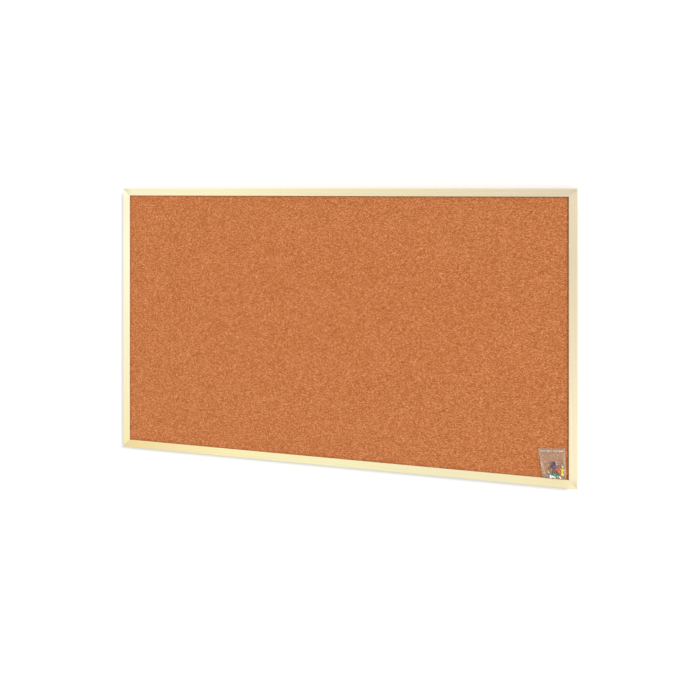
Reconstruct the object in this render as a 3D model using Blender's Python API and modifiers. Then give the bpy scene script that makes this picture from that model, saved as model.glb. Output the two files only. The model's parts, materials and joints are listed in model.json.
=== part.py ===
"""Cork bulletin board in a mitred wooden frame, with a small grip-seal bag of push pins in one corner.

Everything is in metres. +Z is up, +X is to the right of someone who faces the board, and the front
faces -Y. The board is drawn round the middle of the hardboard back's outer face, and is then placed so
that the origin is midway between the points where two wall hooks carry its D rings.
"""

import math

import bmesh
import bpy
from mathutils import Matrix, Vector

MM = 0.001

# Board and frame moulding
BOARD_WIDTH = 1000 * MM
BOARD_HEIGHT = 600 * MM
FRAME_DEPTH = 20 * MM
FACE_WIDTH = 17 * MM
WALL_WIDTH = 12 * MM
LIP_THICKNESS = 3.5 * MM
OUTER_EASING = 2.0 * MM
INNER_EASING = 1.2 * MM
BACK_EASING = 0.8 * MM
EASING_STEPS = 4

# Room between neighbouring pieces, and how far a cutter runs past a face
GAP = 0.3 * MM
CUTTER_OVERRUN = 1 * MM

# Panel layers, front to back
CORK_THICKNESS = 3 * MM
CORE_THICKNESS = 7 * MM
HARDBOARD_THICKNESS = 2.5 * MM
PANEL_CLEARANCE = 0.5 * MM
PANEL_WIDTH = BOARD_WIDTH - 2 * (WALL_WIDTH + PANEL_CLEARANCE)
PANEL_HEIGHT = BOARD_HEIGHT - 2 * (WALL_WIDTH + PANEL_CLEARANCE)

# Depths along Y, from the hardboard's outer face at zero, before the board is placed on its hooks
CORE_BACK_Y = -HARDBOARD_THICKNESS - GAP
CORK_BACK_Y = CORE_BACK_Y - CORE_THICKNESS - GAP
CORK_FRONT_Y = CORK_BACK_Y - CORK_THICKNESS
LIP_BACK_Y = CORK_FRONT_Y - GAP
FRAME_FRONT_Y = LIP_BACK_Y - LIP_THICKNESS
FRAME_BACK_Y = FRAME_FRONT_Y + FRAME_DEPTH

# Corner nails, one driven across each mitre from behind
NAIL_ARM = 5.5 * MM
NAIL_THICKNESS = 0.6 * MM
NAIL_DEPTH = 9 * MM
NAIL_INSET = 7.6 * MM
NAIL_SUNK = 0.5 * MM

# Flat tabs that hold the hardboard in the rebate
TAB_WIDTH = 6 * MM
TAB_LENGTH = 15 * MM
TAB_THICKNESS = 0.5 * MM
TAB_IN_WOOD = 6 * MM
TAB_POINT = 2.5 * MM
TABS_ON_LONG_SIDE = (-0.32, 0.0, 0.32)
TABS_ON_SHORT_SIDE = (-0.13, 0.13)

# Strap hangers with a D ring each
HANGER_X = BOARD_WIDTH / 2 - 6.5 * MM
RING_AXIS_Z = BOARD_HEIGHT / 2 - 60 * MM
RING_WIRE = 1.8 * MM
RING_WIDTH = 12 * MM
RING_REACH = 12.6 * MM
RING_CORNER = 1.6 * MM
STRAP_WIDTH = 7.4 * MM
STRAP_LENGTH = 27 * MM
STRAP_THICKNESS = 0.8 * MM
KNUCKLE_BORE = 2.4 * MM
KNUCKLE_SWEEP_DEG = 285
SCREW_DROPS = (8.2 * MM, 20 * MM)
KNUCKLE_MID_RADIUS = (KNUCKLE_BORE + STRAP_THICKNESS) / 2
STRAP_MID_Y = FRAME_BACK_Y + GAP + STRAP_THICKNESS / 2
RING_AXIS_Y = STRAP_MID_Y + KNUCKLE_MID_RADIUS

# Where the wall hooks bear: under the crown of each ring's bow
HOOK_POINT = Vector((0, RING_AXIS_Y, RING_AXIS_Z + RING_REACH - RING_WIRE))

# Screws of the hangers
SCREW_HEAD_RADIUS = 2.75 * MM
SCREW_HEAD_HEIGHT = 1.5 * MM
SCREW_SHANK_RADIUS = 1.5 * MM
SCREW_LENGTH = 13 * MM
SCREW_TIP = 3 * MM
SCREW_SEAT_Y = STRAP_MID_Y + STRAP_THICKNESS / 2 + GAP

# Bumpers at the lower back corners
BUMPER_RADIUS = 4.6 * MM
BUMPER_HEIGHT = 3.2 * MM
BUMPER_INSET = 6.4 * MM
BUMPER_RISE = 24 * MM

# Push pins
PIN_LENGTH = 12 * MM
PIN_COLLAR_RADIUS = 4.1 * MM
PIN_WAIST_RADIUS = 2.1 * MM
PIN_KNOB_RADIUS = 3.4 * MM
NEEDLE_RADIUS = 0.55 * MM
NEEDLE_OUT = 9 * MM
NEEDLE_IN = 6 * MM
NEEDLE_TIP = 2 * MM

# Bag: corners measured right and up from the lower right corner of the frame's sight edge
SIGHT_RIGHT_X = BOARD_WIDTH / 2 - FACE_WIDTH
SIGHT_BOTTOM_Z = -BOARD_HEIGHT / 2 + FACE_WIDTH
BAG_TOP_LEFT = (-58.5 * MM, 58.5 * MM)
BAG_TOP_RIGHT = (-7.0 * MM, 62.0 * MM)
BAG_LOW_LEFT = (-50.0 * MM, 0.8 * MM)
BAG_LOW_RIGHT = (-4.5 * MM, 0.6 * MM)
BAG_WALL = 0.45 * MM
BAG_MOUTH_THICKNESS = 2.9 * MM
BAG_SIDE_THICKNESS = 2.2 * MM
BAG_FULL_THICKNESS = 13.4 * MM
BAG_SIDE_RUN = 7 * MM
BAG_FOOT_RUN = 5 * MM
BAG_NECK_HEIGHT = 50 * MM
BAG_BELLY_HEIGHT = 34 * MM
BAG_SEAM = 1.2 * MM
BAG_CELLS = 18
GLUE_DOT_RADIUS = 6 * MM
GLUE_DOT_THICKNESS = 0.6 * MM
GLUE_DOT_PLACE = (-30 * MM, 36 * MM)
BAG_BACK_Y = CORK_FRONT_Y - 2 * GAP - GLUE_DOT_THICKNESS

# Grip seal across the bag's mouth
SEAL_DROP = 5 * MM
SEAL_HEIGHT = 2.2 * MM
SEAL_THICKNESS = 0.5 * MM
SEAL_END_GAP = 2.4 * MM

ROUND_STEPS = 20
PARTS_NAME = "cork_bulletin_board"


def clear_scene():
    """Remove every object of the open scene."""
    for old in list(bpy.data.objects):
        bpy.data.objects.remove(old, do_unlink=True)


def make_collection(name):
    """Return a new collection linked to the scene."""
    made = bpy.data.collections.new(name)
    bpy.context.scene.collection.children.link(made)
    return made


def make_material(name, colour, roughness, metallic=0.0, alpha=1.0):
    """Return a Principled material of one colour."""
    made = bpy.data.materials.new(name)
    made.use_nodes = True
    shader = made.node_tree.nodes["Principled BSDF"]
    shader.inputs["Base Color"].default_value = (*colour, 1.0)
    shader.inputs["Roughness"].default_value = roughness
    shader.inputs["Metallic"].default_value = metallic
    shader.inputs["Alpha"].default_value = alpha
    made.diffuse_color = (*colour, alpha)
    return made


def add_object(name, mesh, collection, material=None, location=(0, 0, 0), turn=None):
    """Link a mesh as a named object, turned by a matrix and then placed."""
    made = bpy.data.objects.new(name, mesh)
    collection.objects.link(made)
    if material:
        mesh.materials.append(material)
    place = Matrix.Translation(Vector(location))
    made.matrix_world = place @ turn.to_4x4() if turn else place
    return made


def as_cutter(made):
    """Mark an object as a cutting shape that is never drawn."""
    made.hide_render = True
    made.display_type = "WIRE"
    return made


def box_mesh(name, size):
    """A box centred on its own origin."""
    shape = bmesh.new()
    bmesh.ops.create_cube(shape, size=1.0)
    bmesh.ops.scale(shape, vec=Vector(size), verts=shape.verts)
    mesh = bpy.data.meshes.new(name)
    shape.to_mesh(mesh)
    shape.free()
    return mesh


def outline_mesh(name, points, thickness):
    """A flat closed outline in XY, filled and given its thickness along Z, centred on Z zero."""
    curve = bpy.data.curves.new(name, "CURVE")
    curve.dimensions = "2D"
    curve.fill_mode = "BOTH"
    curve.extrude = thickness / 2
    spline = curve.splines.new("POLY")
    spline.points.add(len(points) - 1)
    for place, (x, y) in zip(spline.points, points):
        place.co = (x, y, 0.0, 1.0)
    spline.use_cyclic_u = True
    guide = bpy.data.objects.new(name, curve)
    bpy.context.scene.collection.objects.link(guide)
    mesh = mesh_of(guide)
    bpy.data.objects.remove(guide, do_unlink=True)
    return mesh


def mesh_of(source):
    """The evaluated mesh of an object, with its loose caps welded on."""
    bpy.context.view_layer.update()
    graph = bpy.context.evaluated_depsgraph_get()
    mesh = bpy.data.meshes.new_from_object(source.evaluated_get(graph))
    mesh.materials.clear()
    shape = bmesh.new()
    shape.from_mesh(mesh)
    bmesh.ops.remove_doubles(shape, verts=shape.verts, dist=0.002 * MM)
    bmesh.ops.recalc_face_normals(shape, faces=shape.faces)
    shape.to_mesh(mesh)
    shape.free()
    return mesh


def turned_mesh(name, profile, steps=ROUND_STEPS):
    """A solid turned about Z from a profile of (radius, height) points, listed top to bottom."""
    line = bpy.data.meshes.new(name)
    points = [(radius, 0.0, height) for radius, height in profile]
    edges = [(i, i + 1) for i in range(len(points) - 1)]
    line.from_pydata(points, edges, [])
    guide = bpy.data.objects.new(name, line)
    bpy.context.scene.collection.objects.link(guide)
    screw = guide.modifiers.new("turn", "SCREW")
    screw.axis = "Z"
    screw.steps = steps
    screw.render_steps = steps
    screw.use_merge_vertices = True
    screw.merge_threshold = 0.00001
    screw.use_smooth_shade = True
    mesh = mesh_of(guide)
    bpy.data.objects.remove(guide, do_unlink=True)
    mesh.shade_smooth()
    mesh.set_sharp_from_angle(angle=math.radians(40))
    return mesh


def cut(target, cutter):
    """Take one shape out of another with an exact Boolean."""
    boolean = target.modifiers.new("cut_" + cutter.name, "BOOLEAN")
    boolean.operation = "DIFFERENCE"
    boolean.solver = "EXACT"
    boolean.object = cutter


def arc(centre, radius, start_deg, end_deg, steps):
    """Points of an arc, both ends included."""
    points = []
    for i in range(steps + 1):
        angle = math.radians(start_deg + (end_deg - start_deg) * i / steps)
        points.append((centre[0] + radius * math.cos(angle), centre[1] + radius * math.sin(angle)))
    return points


# Frame ------------------------------------------------------------------------------------------


def moulding_section():
    """The moulding's section: X runs in from the outer edge, Y from the front to the back."""
    front, back = FRAME_FRONT_Y, FRAME_BACK_Y
    outer, inner, rear = OUTER_EASING, INNER_EASING, BACK_EASING
    section = arc((outer, front + outer), outer, 180, 270, EASING_STEPS)
    section += arc((FACE_WIDTH - inner, front + inner), inner, 270, 360, EASING_STEPS)
    section.append((FACE_WIDTH, LIP_BACK_Y))
    section.append((WALL_WIDTH, LIP_BACK_Y))
    section.append((WALL_WIDTH, back))
    section += arc((rear, back - rear), rear, 90, 180, 2)
    return section


def rail_mesh(name, length):
    """A length of moulding along X with mitred ends, its outer edge on Z zero and its inside below."""
    mesh = outline_mesh(name, moulding_section(), length)
    half_gap = GAP / 2 * math.sqrt(2)
    for vertex in mesh.vertices:
        inward, depth, along = vertex.co
        mitre = length / 2 - inward - half_gap
        vertex.co = (math.copysign(mitre, along), depth, -inward)
    shape = bmesh.new()
    shape.from_mesh(mesh)
    bmesh.ops.recalc_face_normals(shape, faces=shape.faces)
    shape.to_mesh(mesh)
    shape.free()
    mesh.shade_smooth()
    mesh.set_sharp_from_angle(angle=math.radians(40))
    return mesh


def add_frame(parts, wood):
    """The four mitred rails, as a dictionary by name."""
    plan = {
        "top_rail": (BOARD_WIDTH, (0, 0, BOARD_HEIGHT / 2), 0),
        "bottom_rail": (BOARD_WIDTH, (0, 0, -BOARD_HEIGHT / 2), 180),
        "left_stile": (BOARD_HEIGHT, (-BOARD_WIDTH / 2, 0, 0), -90),
        "right_stile": (BOARD_HEIGHT, (BOARD_WIDTH / 2, 0, 0), 90),
    }
    rails = {}
    for name, (length, place, degrees) in plan.items():
        turn = Matrix.Rotation(math.radians(degrees), 4, "Y")
        rails[name] = add_object(name, rail_mesh(name, length), parts, wood, place, turn)
    return rails


def corners():
    """The four corners: their name, their signs in X and Z, and the two rails that meet there."""
    yield "upper_left", -1, 1, ("top_rail", "left_stile")
    yield "upper_right", 1, 1, ("top_rail", "right_stile")
    yield "lower_left", -1, -1, ("bottom_rail", "left_stile")
    yield "lower_right", 1, -1, ("bottom_rail", "right_stile")


def chevron(arm, thickness):
    """An L of two equal arms from the origin, centred on its arms' thickness."""
    half = thickness / 2
    return [(half, half), (-arm, half), (-arm, -half), (-half, -half), (-half, -arm), (half, -arm)]


def add_corner_nails(parts, cutters, rails, steel):
    """One chevron nail across each mitre, driven in from behind, in a slot with a hair of room."""
    stand = Matrix.Rotation(math.radians(90), 4, "X")
    nail_back = FRAME_BACK_Y - NAIL_SUNK
    slot_back = FRAME_BACK_Y + CUTTER_OVERRUN
    slot_front = nail_back - NAIL_DEPTH - GAP
    for corner, sx, sz, names in corners():
        x = sx * (BOARD_WIDTH / 2 - NAIL_INSET)
        z = sz * (BOARD_HEIGHT / 2 - NAIL_INSET)
        outline = [(sx * a, sz * b) for a, b in chevron(NAIL_ARM, NAIL_THICKNESS)]
        nail = outline_mesh("corner_nail", outline, NAIL_DEPTH)
        place = (x, nail_back - NAIL_DEPTH / 2, z)
        add_object("corner_nail_" + corner, nail, parts, steel, place, stand)
        outline = [(sx * a, sz * b) for a, b in chevron(NAIL_ARM + GAP, NAIL_THICKNESS + 2 * GAP)]
        slot_mesh = outline_mesh("nail_slot", outline, slot_back - slot_front)
        place = (x, (slot_back + slot_front) / 2, z)
        slot = as_cutter(add_object("nail_slot_" + corner, slot_mesh, cutters, None, place, stand))
        for name in names:
            cut(rails[name], slot)


# Panel ------------------------------------------------------------------------------------------


def add_panel_layers(parts, cork, softboard, hardboard):
    """Cork sheet, softboard core and hardboard back, one behind the other in the rebate."""
    layers = (
        ("cork_sheet", CORK_THICKNESS, CORK_FRONT_Y, cork),
        ("softboard_core", CORE_THICKNESS, CORK_BACK_Y + GAP, softboard),
        ("hardboard_back", HARDBOARD_THICKNESS, -HARDBOARD_THICKNESS, hardboard),
    )
    for name, thickness, front_y, material in layers:
        mesh = box_mesh(name, (PANEL_WIDTH, thickness, PANEL_HEIGHT))
        add_object(name, mesh, parts, material, (0, front_y + thickness / 2, 0))


def tab_places():
    """Each tab's name, its rail, its place on the rebate wall and the turn that points it inwards."""
    top = BOARD_HEIGHT / 2 - WALL_WIDTH
    side = BOARD_WIDTH / 2 - WALL_WIDTH
    for i, x in enumerate(TABS_ON_LONG_SIDE, 1):
        yield f"panel_tab_top_{i}", "top_rail", (x, top), 0
        yield f"panel_tab_bottom_{i}", "bottom_rail", (x, -top), 180
    for i, z in enumerate(TABS_ON_SHORT_SIDE, 1):
        yield f"panel_tab_left_{i}", "left_stile", (-side, z), -90
        yield f"panel_tab_right_{i}", "right_stile", (side, z), 90


def add_panel_tabs(parts, cutters, rails, steel):
    """Flat steel tabs pushed into the rebate wall so that they lie over the hardboard."""
    half = TAB_WIDTH / 2
    inner, outer = TAB_IN_WOOD - TAB_LENGTH, TAB_IN_WOOD
    shoulder = outer - TAB_POINT
    outline = [(-half, inner), (half, inner), (half, shoulder), (0, outer), (-half, shoulder)]
    stand = Matrix.Rotation(math.radians(90), 4, "X")
    tab_y = GAP + TAB_THICKNESS / 2
    slot_size = (TAB_WIDTH + 2 * GAP, TAB_THICKNESS + 2 * GAP, 2 * TAB_IN_WOOD + 2 * GAP)
    for name, rail, (x, z), degrees in tab_places():
        turn = Matrix.Rotation(math.radians(degrees), 4, "Y")
        mesh = outline_mesh(name, outline, TAB_THICKNESS)
        add_object(name, mesh, parts, steel, (x, tab_y, z), turn @ stand)
        slot_name = name.replace("panel_tab", "tab_slot")
        mesh = box_mesh(slot_name, slot_size)
        slot = as_cutter(add_object(slot_name, mesh, cutters, None, (x, tab_y, z), turn))
        cut(rails[rail], slot)


# Hangers ----------------------------------------------------------------------------------------


def ring_path():
    """A D in XZ: a straight bar on X, and a bow that rises from it."""
    half = (RING_WIDTH - RING_WIRE) / 2
    rise = RING_REACH - RING_WIRE / 2 - half
    path = arc((half - RING_CORNER, RING_CORNER), RING_CORNER, -90, 0, 3)
    path += arc((0, rise), half, 0, 180, 12)
    path += arc((-half + RING_CORNER, RING_CORNER), RING_CORNER, 180, 270, 3)
    return path


def ring_mesh(name):
    """The D ring's wire, with its bar's middle on the object's origin."""
    curve = bpy.data.curves.new(name, "CURVE")
    curve.dimensions = "3D"
    curve.bevel_depth = RING_WIRE / 2
    curve.bevel_resolution = 2
    path = ring_path()
    spline = curve.splines.new("POLY")
    spline.points.add(len(path) - 1)
    for place, (x, z) in zip(spline.points, path):
        place.co = (x, 0.0, z, 1.0)
    spline.use_cyclic_u = True
    guide = bpy.data.objects.new(name, curve)
    bpy.context.scene.collection.objects.link(guide)
    mesh = mesh_of(guide)
    bpy.data.objects.remove(guide, do_unlink=True)
    mesh.shade_smooth()
    return mesh


def strap_mesh(name):
    """A strap that lies flat below the ring's axis and curls round the bar, open at the curl's end."""
    drop = STRAP_MID_Y - RING_AXIS_Y
    path = [(drop, -STRAP_LENGTH), (drop, -STRAP_LENGTH / 2)]
    path += arc((0, 0), KNUCKLE_MID_RADIUS, 180, 180 - KNUCKLE_SWEEP_DEG, 14)
    half = STRAP_WIDTH / 2
    points = [(side, y, z) for y, z in path for side in (-half, half)]
    faces = [(2 * i, 2 * i + 1, 2 * i + 3, 2 * i + 2) for i in range(len(path) - 1)]
    mesh = bpy.data.meshes.new(name)
    mesh.from_pydata(points, [], faces)
    guide = bpy.data.objects.new(name, mesh)
    bpy.context.scene.collection.objects.link(guide)
    solidify = guide.modifiers.new("thickness", "SOLIDIFY")
    solidify.thickness = STRAP_THICKNESS
    solidify.offset = 0.0
    solidify.use_even_offset = True
    solid = mesh_of(guide)
    bpy.data.objects.remove(guide, do_unlink=True)
    solid.shade_smooth()
    solid.set_sharp_from_angle(angle=math.radians(40))
    return solid


def screw_profile():
    """A pan-head screw about Z, seated with its head's underside on Z zero."""
    radius, height = SCREW_HEAD_RADIUS, SCREW_HEAD_HEIGHT
    dome = arc((0, 0), 1.0, 90, 15, 5)
    profile = [(radius * x, height * z) for x, z in dome]
    profile[0] = (0, height)
    profile.append((radius, 0))
    profile.append((SCREW_SHANK_RADIUS, 0))
    profile.append((SCREW_SHANK_RADIUS, -SCREW_LENGTH + SCREW_TIP))
    profile.append((0, -SCREW_LENGTH))
    return profile


def add_hangers(parts, cutters, rails, steel):
    """Two strap hangers: each a strap, a D ring on a turning bar, and two screws."""
    face_back = Matrix.Rotation(math.radians(-90), 4, "X")
    hole_radius = SCREW_SHANK_RADIUS + GAP
    hole_length = SCREW_LENGTH + 4 * MM
    for side, sign in (("left", -1), ("right", 1)):
        x = sign * HANGER_X
        axis = (x, RING_AXIS_Y, RING_AXIS_Z)
        pivot = bpy.data.objects.new(f"ring_pivot_{side}", None)
        pivot.location = axis
        parts.objects.link(pivot)
        ring = add_object(f"hanger_ring_{side}", ring_mesh("ring"), parts, steel)
        ring.matrix_world = Matrix.Identity(4)
        ring.parent = pivot
        strap = add_object(f"hanger_strap_{side}", strap_mesh("strap"), parts, steel, axis)
        for number, drop in enumerate(SCREW_DROPS, 1):
            seat = (x, SCREW_SEAT_Y, RING_AXIS_Z - drop)
            mesh = turned_mesh("hanger_screw", screw_profile(), 16)
            add_object(f"hanger_screw_{side}_{number}", mesh, parts, steel, seat, face_back)
            hole_y = SCREW_SEAT_Y + 2 * MM - hole_length / 2
            mesh = turned_mesh("screw_hole", cylinder_profile(hole_radius, hole_length), 16)
            place = (x, hole_y, seat[2])
            hole = add_object(f"screw_hole_{side}_{number}", mesh, cutters, None, place, face_back)
            as_cutter(hole)
            cut(rails[f"{side}_stile"], hole)
            cut(strap, hole)


def cylinder_profile(radius, length):
    """A plain cylinder about Z, centred on Z zero."""
    half = length / 2
    return [(0, half), (radius, half), (radius, -half), (0, -half)]


def add_bumpers(parts, rubber):
    """Soft domed bumpers that keep the lower corners off the wall."""
    face_back = Matrix.Rotation(math.radians(-90), 4, "X")
    crown = arc((BUMPER_RADIUS - 1.6 * MM, BUMPER_HEIGHT - 1.6 * MM), 1.6 * MM, 90, 0, 4)
    profile = [(0, BUMPER_HEIGHT)] + crown + [(BUMPER_RADIUS, 0), (0, 0)]
    for side, sign in (("left", -1), ("right", 1)):
        x = sign * (BOARD_WIDTH / 2 - BUMPER_INSET)
        place = (x, FRAME_BACK_Y + GAP, -BOARD_HEIGHT / 2 + BUMPER_RISE)
        mesh = turned_mesh("bumper", profile)
        add_object(f"bumper_{side}", mesh, parts, rubber, place, face_back)


# Bag of pins ------------------------------------------------------------------------------------


def smooth_rise(distance, run):
    """From 0 at the edge to 1 at the run's end, as a quarter of a circle rises."""
    share = min(max(distance / run, 0.0), 1.0)
    return math.sqrt(1 - (1 - share) ** 2)


def bag_thickness(across, up):
    """The filled bag's thickness: across is the distance from the nearer side, up is from its foot."""
    if up >= BAG_NECK_HEIGHT:
        return BAG_MOUTH_THICKNESS
    neck = min(max((BAG_NECK_HEIGHT - up) / (BAG_NECK_HEIGHT - BAG_BELLY_HEIGHT), 0.0), 1.0)
    neck = neck * neck * (3 - 2 * neck)
    belly = smooth_rise(across, BAG_SIDE_RUN) * (0.35 + 0.65 * smooth_rise(up, BAG_FOOT_RUN))
    full = BAG_SIDE_THICKNESS + (BAG_FULL_THICKNESS - BAG_SIDE_THICKNESS) * belly
    return BAG_MOUTH_THICKNESS + (full - BAG_MOUTH_THICKNESS) * neck


def bag_point(u, v, inset=0.0, lift=0.0):
    """For shares u across and v up: the place in X and Z, and its distances from side and foot.

    The inset draws the sides and the foot in, and the lift raises the mouth.
    """
    foot = Vector(BAG_LOW_LEFT).lerp(Vector(BAG_LOW_RIGHT), u)
    head = Vector(BAG_TOP_LEFT).lerp(Vector(BAG_TOP_RIGHT), u)
    place = foot.lerp(head, v)
    width = (Vector(BAG_LOW_RIGHT) - Vector(BAG_LOW_LEFT)).length
    across = min(u, 1 - u) * width
    up = place.y - BAG_LOW_LEFT[1]
    place.x += inset * (1 - 2 * u)
    place.y += inset * (1 - v) + lift * v
    return place.x + SIGHT_RIGHT_X, place.y + SIGHT_BOTTOM_Z, across, up


def bag_solid(name, inset, lift, wall):
    """A pillow with a flat back and a full front, pulled in by a wall on every side but the top."""
    shape = bmesh.new()
    bmesh.ops.create_grid(shape, x_segments=BAG_CELLS, y_segments=BAG_CELLS, size=0.5)
    grid = list(shape.faces)
    made = bmesh.ops.extrude_face_region(shape, geom=grid, use_keep_orig=True)
    front = {item for item in made["geom"] if isinstance(item, bmesh.types.BMVert)}
    for vertex in shape.verts:
        x, z, across, up = bag_point(vertex.co.x + 0.5, vertex.co.y + 0.5, inset, lift)
        depth = bag_thickness(across, up) - wall if vertex in front else wall
        vertex.co = (x, BAG_BACK_Y - depth, z)
    bmesh.ops.recalc_face_normals(shape, faces=shape.faces)
    mesh = bpy.data.meshes.new(name)
    shape.to_mesh(mesh)
    shape.free()
    return mesh


def add_bag(parts, cutters, film, glue):
    """The film pocket, open only at its lips, and the glue dot that holds it to the cork."""
    pocket = add_object("bag_film", bag_solid("bag_film", 0.0, 0.0, 0.0), parts, film)
    hollow_mesh = bag_solid("bag_hollow", BAG_SEAM, 3 * MM, BAG_WALL)
    hollow = as_cutter(add_object("bag_hollow", hollow_mesh, cutters))
    cut(pocket, hollow)
    dot_x = SIGHT_RIGHT_X + GLUE_DOT_PLACE[0]
    dot_z = SIGHT_BOTTOM_Z + GLUE_DOT_PLACE[1]
    dot_y = CORK_FRONT_Y - GAP - GLUE_DOT_THICKNESS / 2
    mesh = turned_mesh("glue_dot", cylinder_profile(GLUE_DOT_RADIUS, GLUE_DOT_THICKNESS))
    turn = Matrix.Rotation(math.radians(90), 4, "X")
    add_object("glue_dot", mesh, parts, glue, (dot_x, dot_y, dot_z), turn)


def add_grip_seal(parts, film):
    """The two meeting strips of the grip seal, inside the mouth."""
    left, right = Vector(BAG_TOP_LEFT), Vector(BAG_TOP_RIGHT)
    run = right - left
    length = run.length - 2 * (BAG_SEAM + SEAL_END_GAP)
    middle = (left + right) / 2
    slope = Matrix.Rotation(-math.atan2(run.y, run.x), 4, "Y")
    x = SIGHT_RIGHT_X + middle.x
    z = SIGHT_BOTTOM_Z + middle.y - SEAL_DROP
    back_y = BAG_BACK_Y - BAG_WALL - GAP - SEAL_THICKNESS / 2
    size = (length, SEAL_THICKNESS, SEAL_HEIGHT)
    for name, y in (("seal_groove", back_y), ("seal_rib", back_y - SEAL_THICKNESS - GAP / 2)):
        add_object(name, box_mesh(name, size), parts, film, (x, y, z), slope)


def pin_profile():
    """A push pin's moulded head about Z: knob on top, collar below, needle hole up from the collar."""
    collar, waist, knob = PIN_COLLAR_RADIUS, PIN_WAIST_RADIUS, PIN_KNOB_RADIUS
    top = PIN_LENGTH / 2
    hole = NEEDLE_RADIUS + GAP
    return [
        (0, top),
        (0.70 * knob, top - 0.3 * MM),
        (knob, top - 1.1 * MM),
        (knob, top - 1.9 * MM),
        (0.75 * knob, top - 2.9 * MM),
        (waist, top - 4.4 * MM),
        (waist, top - 7.0 * MM),
        (0.72 * collar, top - 9.0 * MM),
        (0.95 * collar, top - 10.2 * MM),
        (collar, top - 11.0 * MM),
        (0.93 * collar, -top),
        (hole, -top),
        (hole, -top + NEEDLE_IN + GAP),
        (0, -top + NEEDLE_IN + GAP),
    ]


def needle_profile():
    """The steel needle about Z, with its blunt end in the head and its tip below."""
    foot = -PIN_LENGTH / 2
    return [
        (0, foot + NEEDLE_IN),
        (NEEDLE_RADIUS, foot + NEEDLE_IN),
        (NEEDLE_RADIUS, foot - NEEDLE_OUT + NEEDLE_TIP),
        (0, foot - NEEDLE_OUT),
    ]


def pin_plan():
    """Each pin's colour name, colour, place from the sight corner and turns.

    The place is right, forward of the bag's back and up, in millimetres. The first turn swings the
    knob from straight up towards the right, and the second leans the knob forward, in degrees.
    """
    yield "blue", (0.035, 0.055, 0.30), (-28.8, 5.4, 29.6), 25, 4
    yield "coral", (0.80, 0.16, 0.15), (-22.0, 7.4, 20.5), -38, 20
    yield "green", (0.03, 0.30, 0.16), (-26.8, 8.3, 12.1), -61, 0
    yield "yellow", (0.80, 0.62, 0.05), (-13.3, 8.3, 17.7), 180, 1
    yield "white", (0.85, 0.85, 0.84), (-31.1, 5.0, 6.0), 93, -2


def add_pins(parts, steel):
    """Five push pins lying in the bag, each a plastic head and a steel needle."""
    for name, colour, (right, forward, up), swing, lean in pin_plan():
        place = Vector((SIGHT_RIGHT_X + right * MM, BAG_BACK_Y - forward * MM, SIGHT_BOTTOM_Z + up * MM))
        turn = Matrix.Rotation(math.radians(swing), 4, "Y") @ Matrix.Rotation(math.radians(lean), 4, "X")
        plastic = make_material(f"{name}_plastic", colour, 0.3)
        head = turned_mesh(f"pin_head_{name}", pin_profile(), 16)
        add_object(f"pin_head_{name}", head, parts, plastic, place, turn)
        needle = turned_mesh(f"pin_needle_{name}", needle_profile(), 8)
        add_object(f"pin_needle_{name}", needle, parts, steel, place, turn)


def place_on_hooks(collections):
    """Hang every piece and cutter from one empty, so that the hook point is the origin."""
    board = bpy.data.objects.new("board_middle", None)
    for collection in collections:
        for made in list(collection.objects):
            if made.parent is None:
                made.parent = board
    collections[0].objects.link(board)
    board.location = -HOOK_POINT


def main():
    clear_scene()
    parts = make_collection(PARTS_NAME)
    cutters = make_collection("cutters")
    wood = make_material("pale_pine", (0.90, 0.82, 0.62), 0.55)
    cork = make_material("cork", (0.58, 0.20, 0.07), 0.95)
    softboard = make_material("softboard", (0.42, 0.31, 0.19), 0.95)
    hardboard = make_material("hardboard", (0.16, 0.08, 0.04), 0.7)
    steel = make_material("zinc_plated_steel", (0.60, 0.60, 0.58), 0.35, 1.0)
    rubber = make_material("bumper_rubber", (0.10, 0.10, 0.10), 0.8)
    film = make_material("clear_film", (0.85, 0.85, 0.85), 0.15, 0.0, 0.3)
    glue = make_material("glue", (0.80, 0.78, 0.70), 0.4)
    rails = add_frame(parts, wood)
    add_corner_nails(parts, cutters, rails, steel)
    add_panel_layers(parts, cork, softboard, hardboard)
    add_panel_tabs(parts, cutters, rails, steel)
    add_hangers(parts, cutters, rails, steel)
    add_bumpers(parts, rubber)
    add_bag(parts, cutters, film, glue)
    add_grip_seal(parts, film)
    add_pins(parts, steel)
    place_on_hooks((parts, cutters))


main()
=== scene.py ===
"""Looks of a cork bulletin board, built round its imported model.

The file is laid out as an add-on: property groups hold the sizes and colours, one operator makes each
piece or group of like pieces, one makes the studio, and a panel in the sidebar lists them. Places and
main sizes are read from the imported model. Everything is in metres, +Z is up and the front faces -Y.
"""

import json
import math

import bmesh
import bpy
from bpy.props import FloatProperty, FloatVectorProperty, IntProperty, PointerProperty
from mathutils import Matrix, Vector, noise
from mathutils.bvhtree import BVHTree


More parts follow.
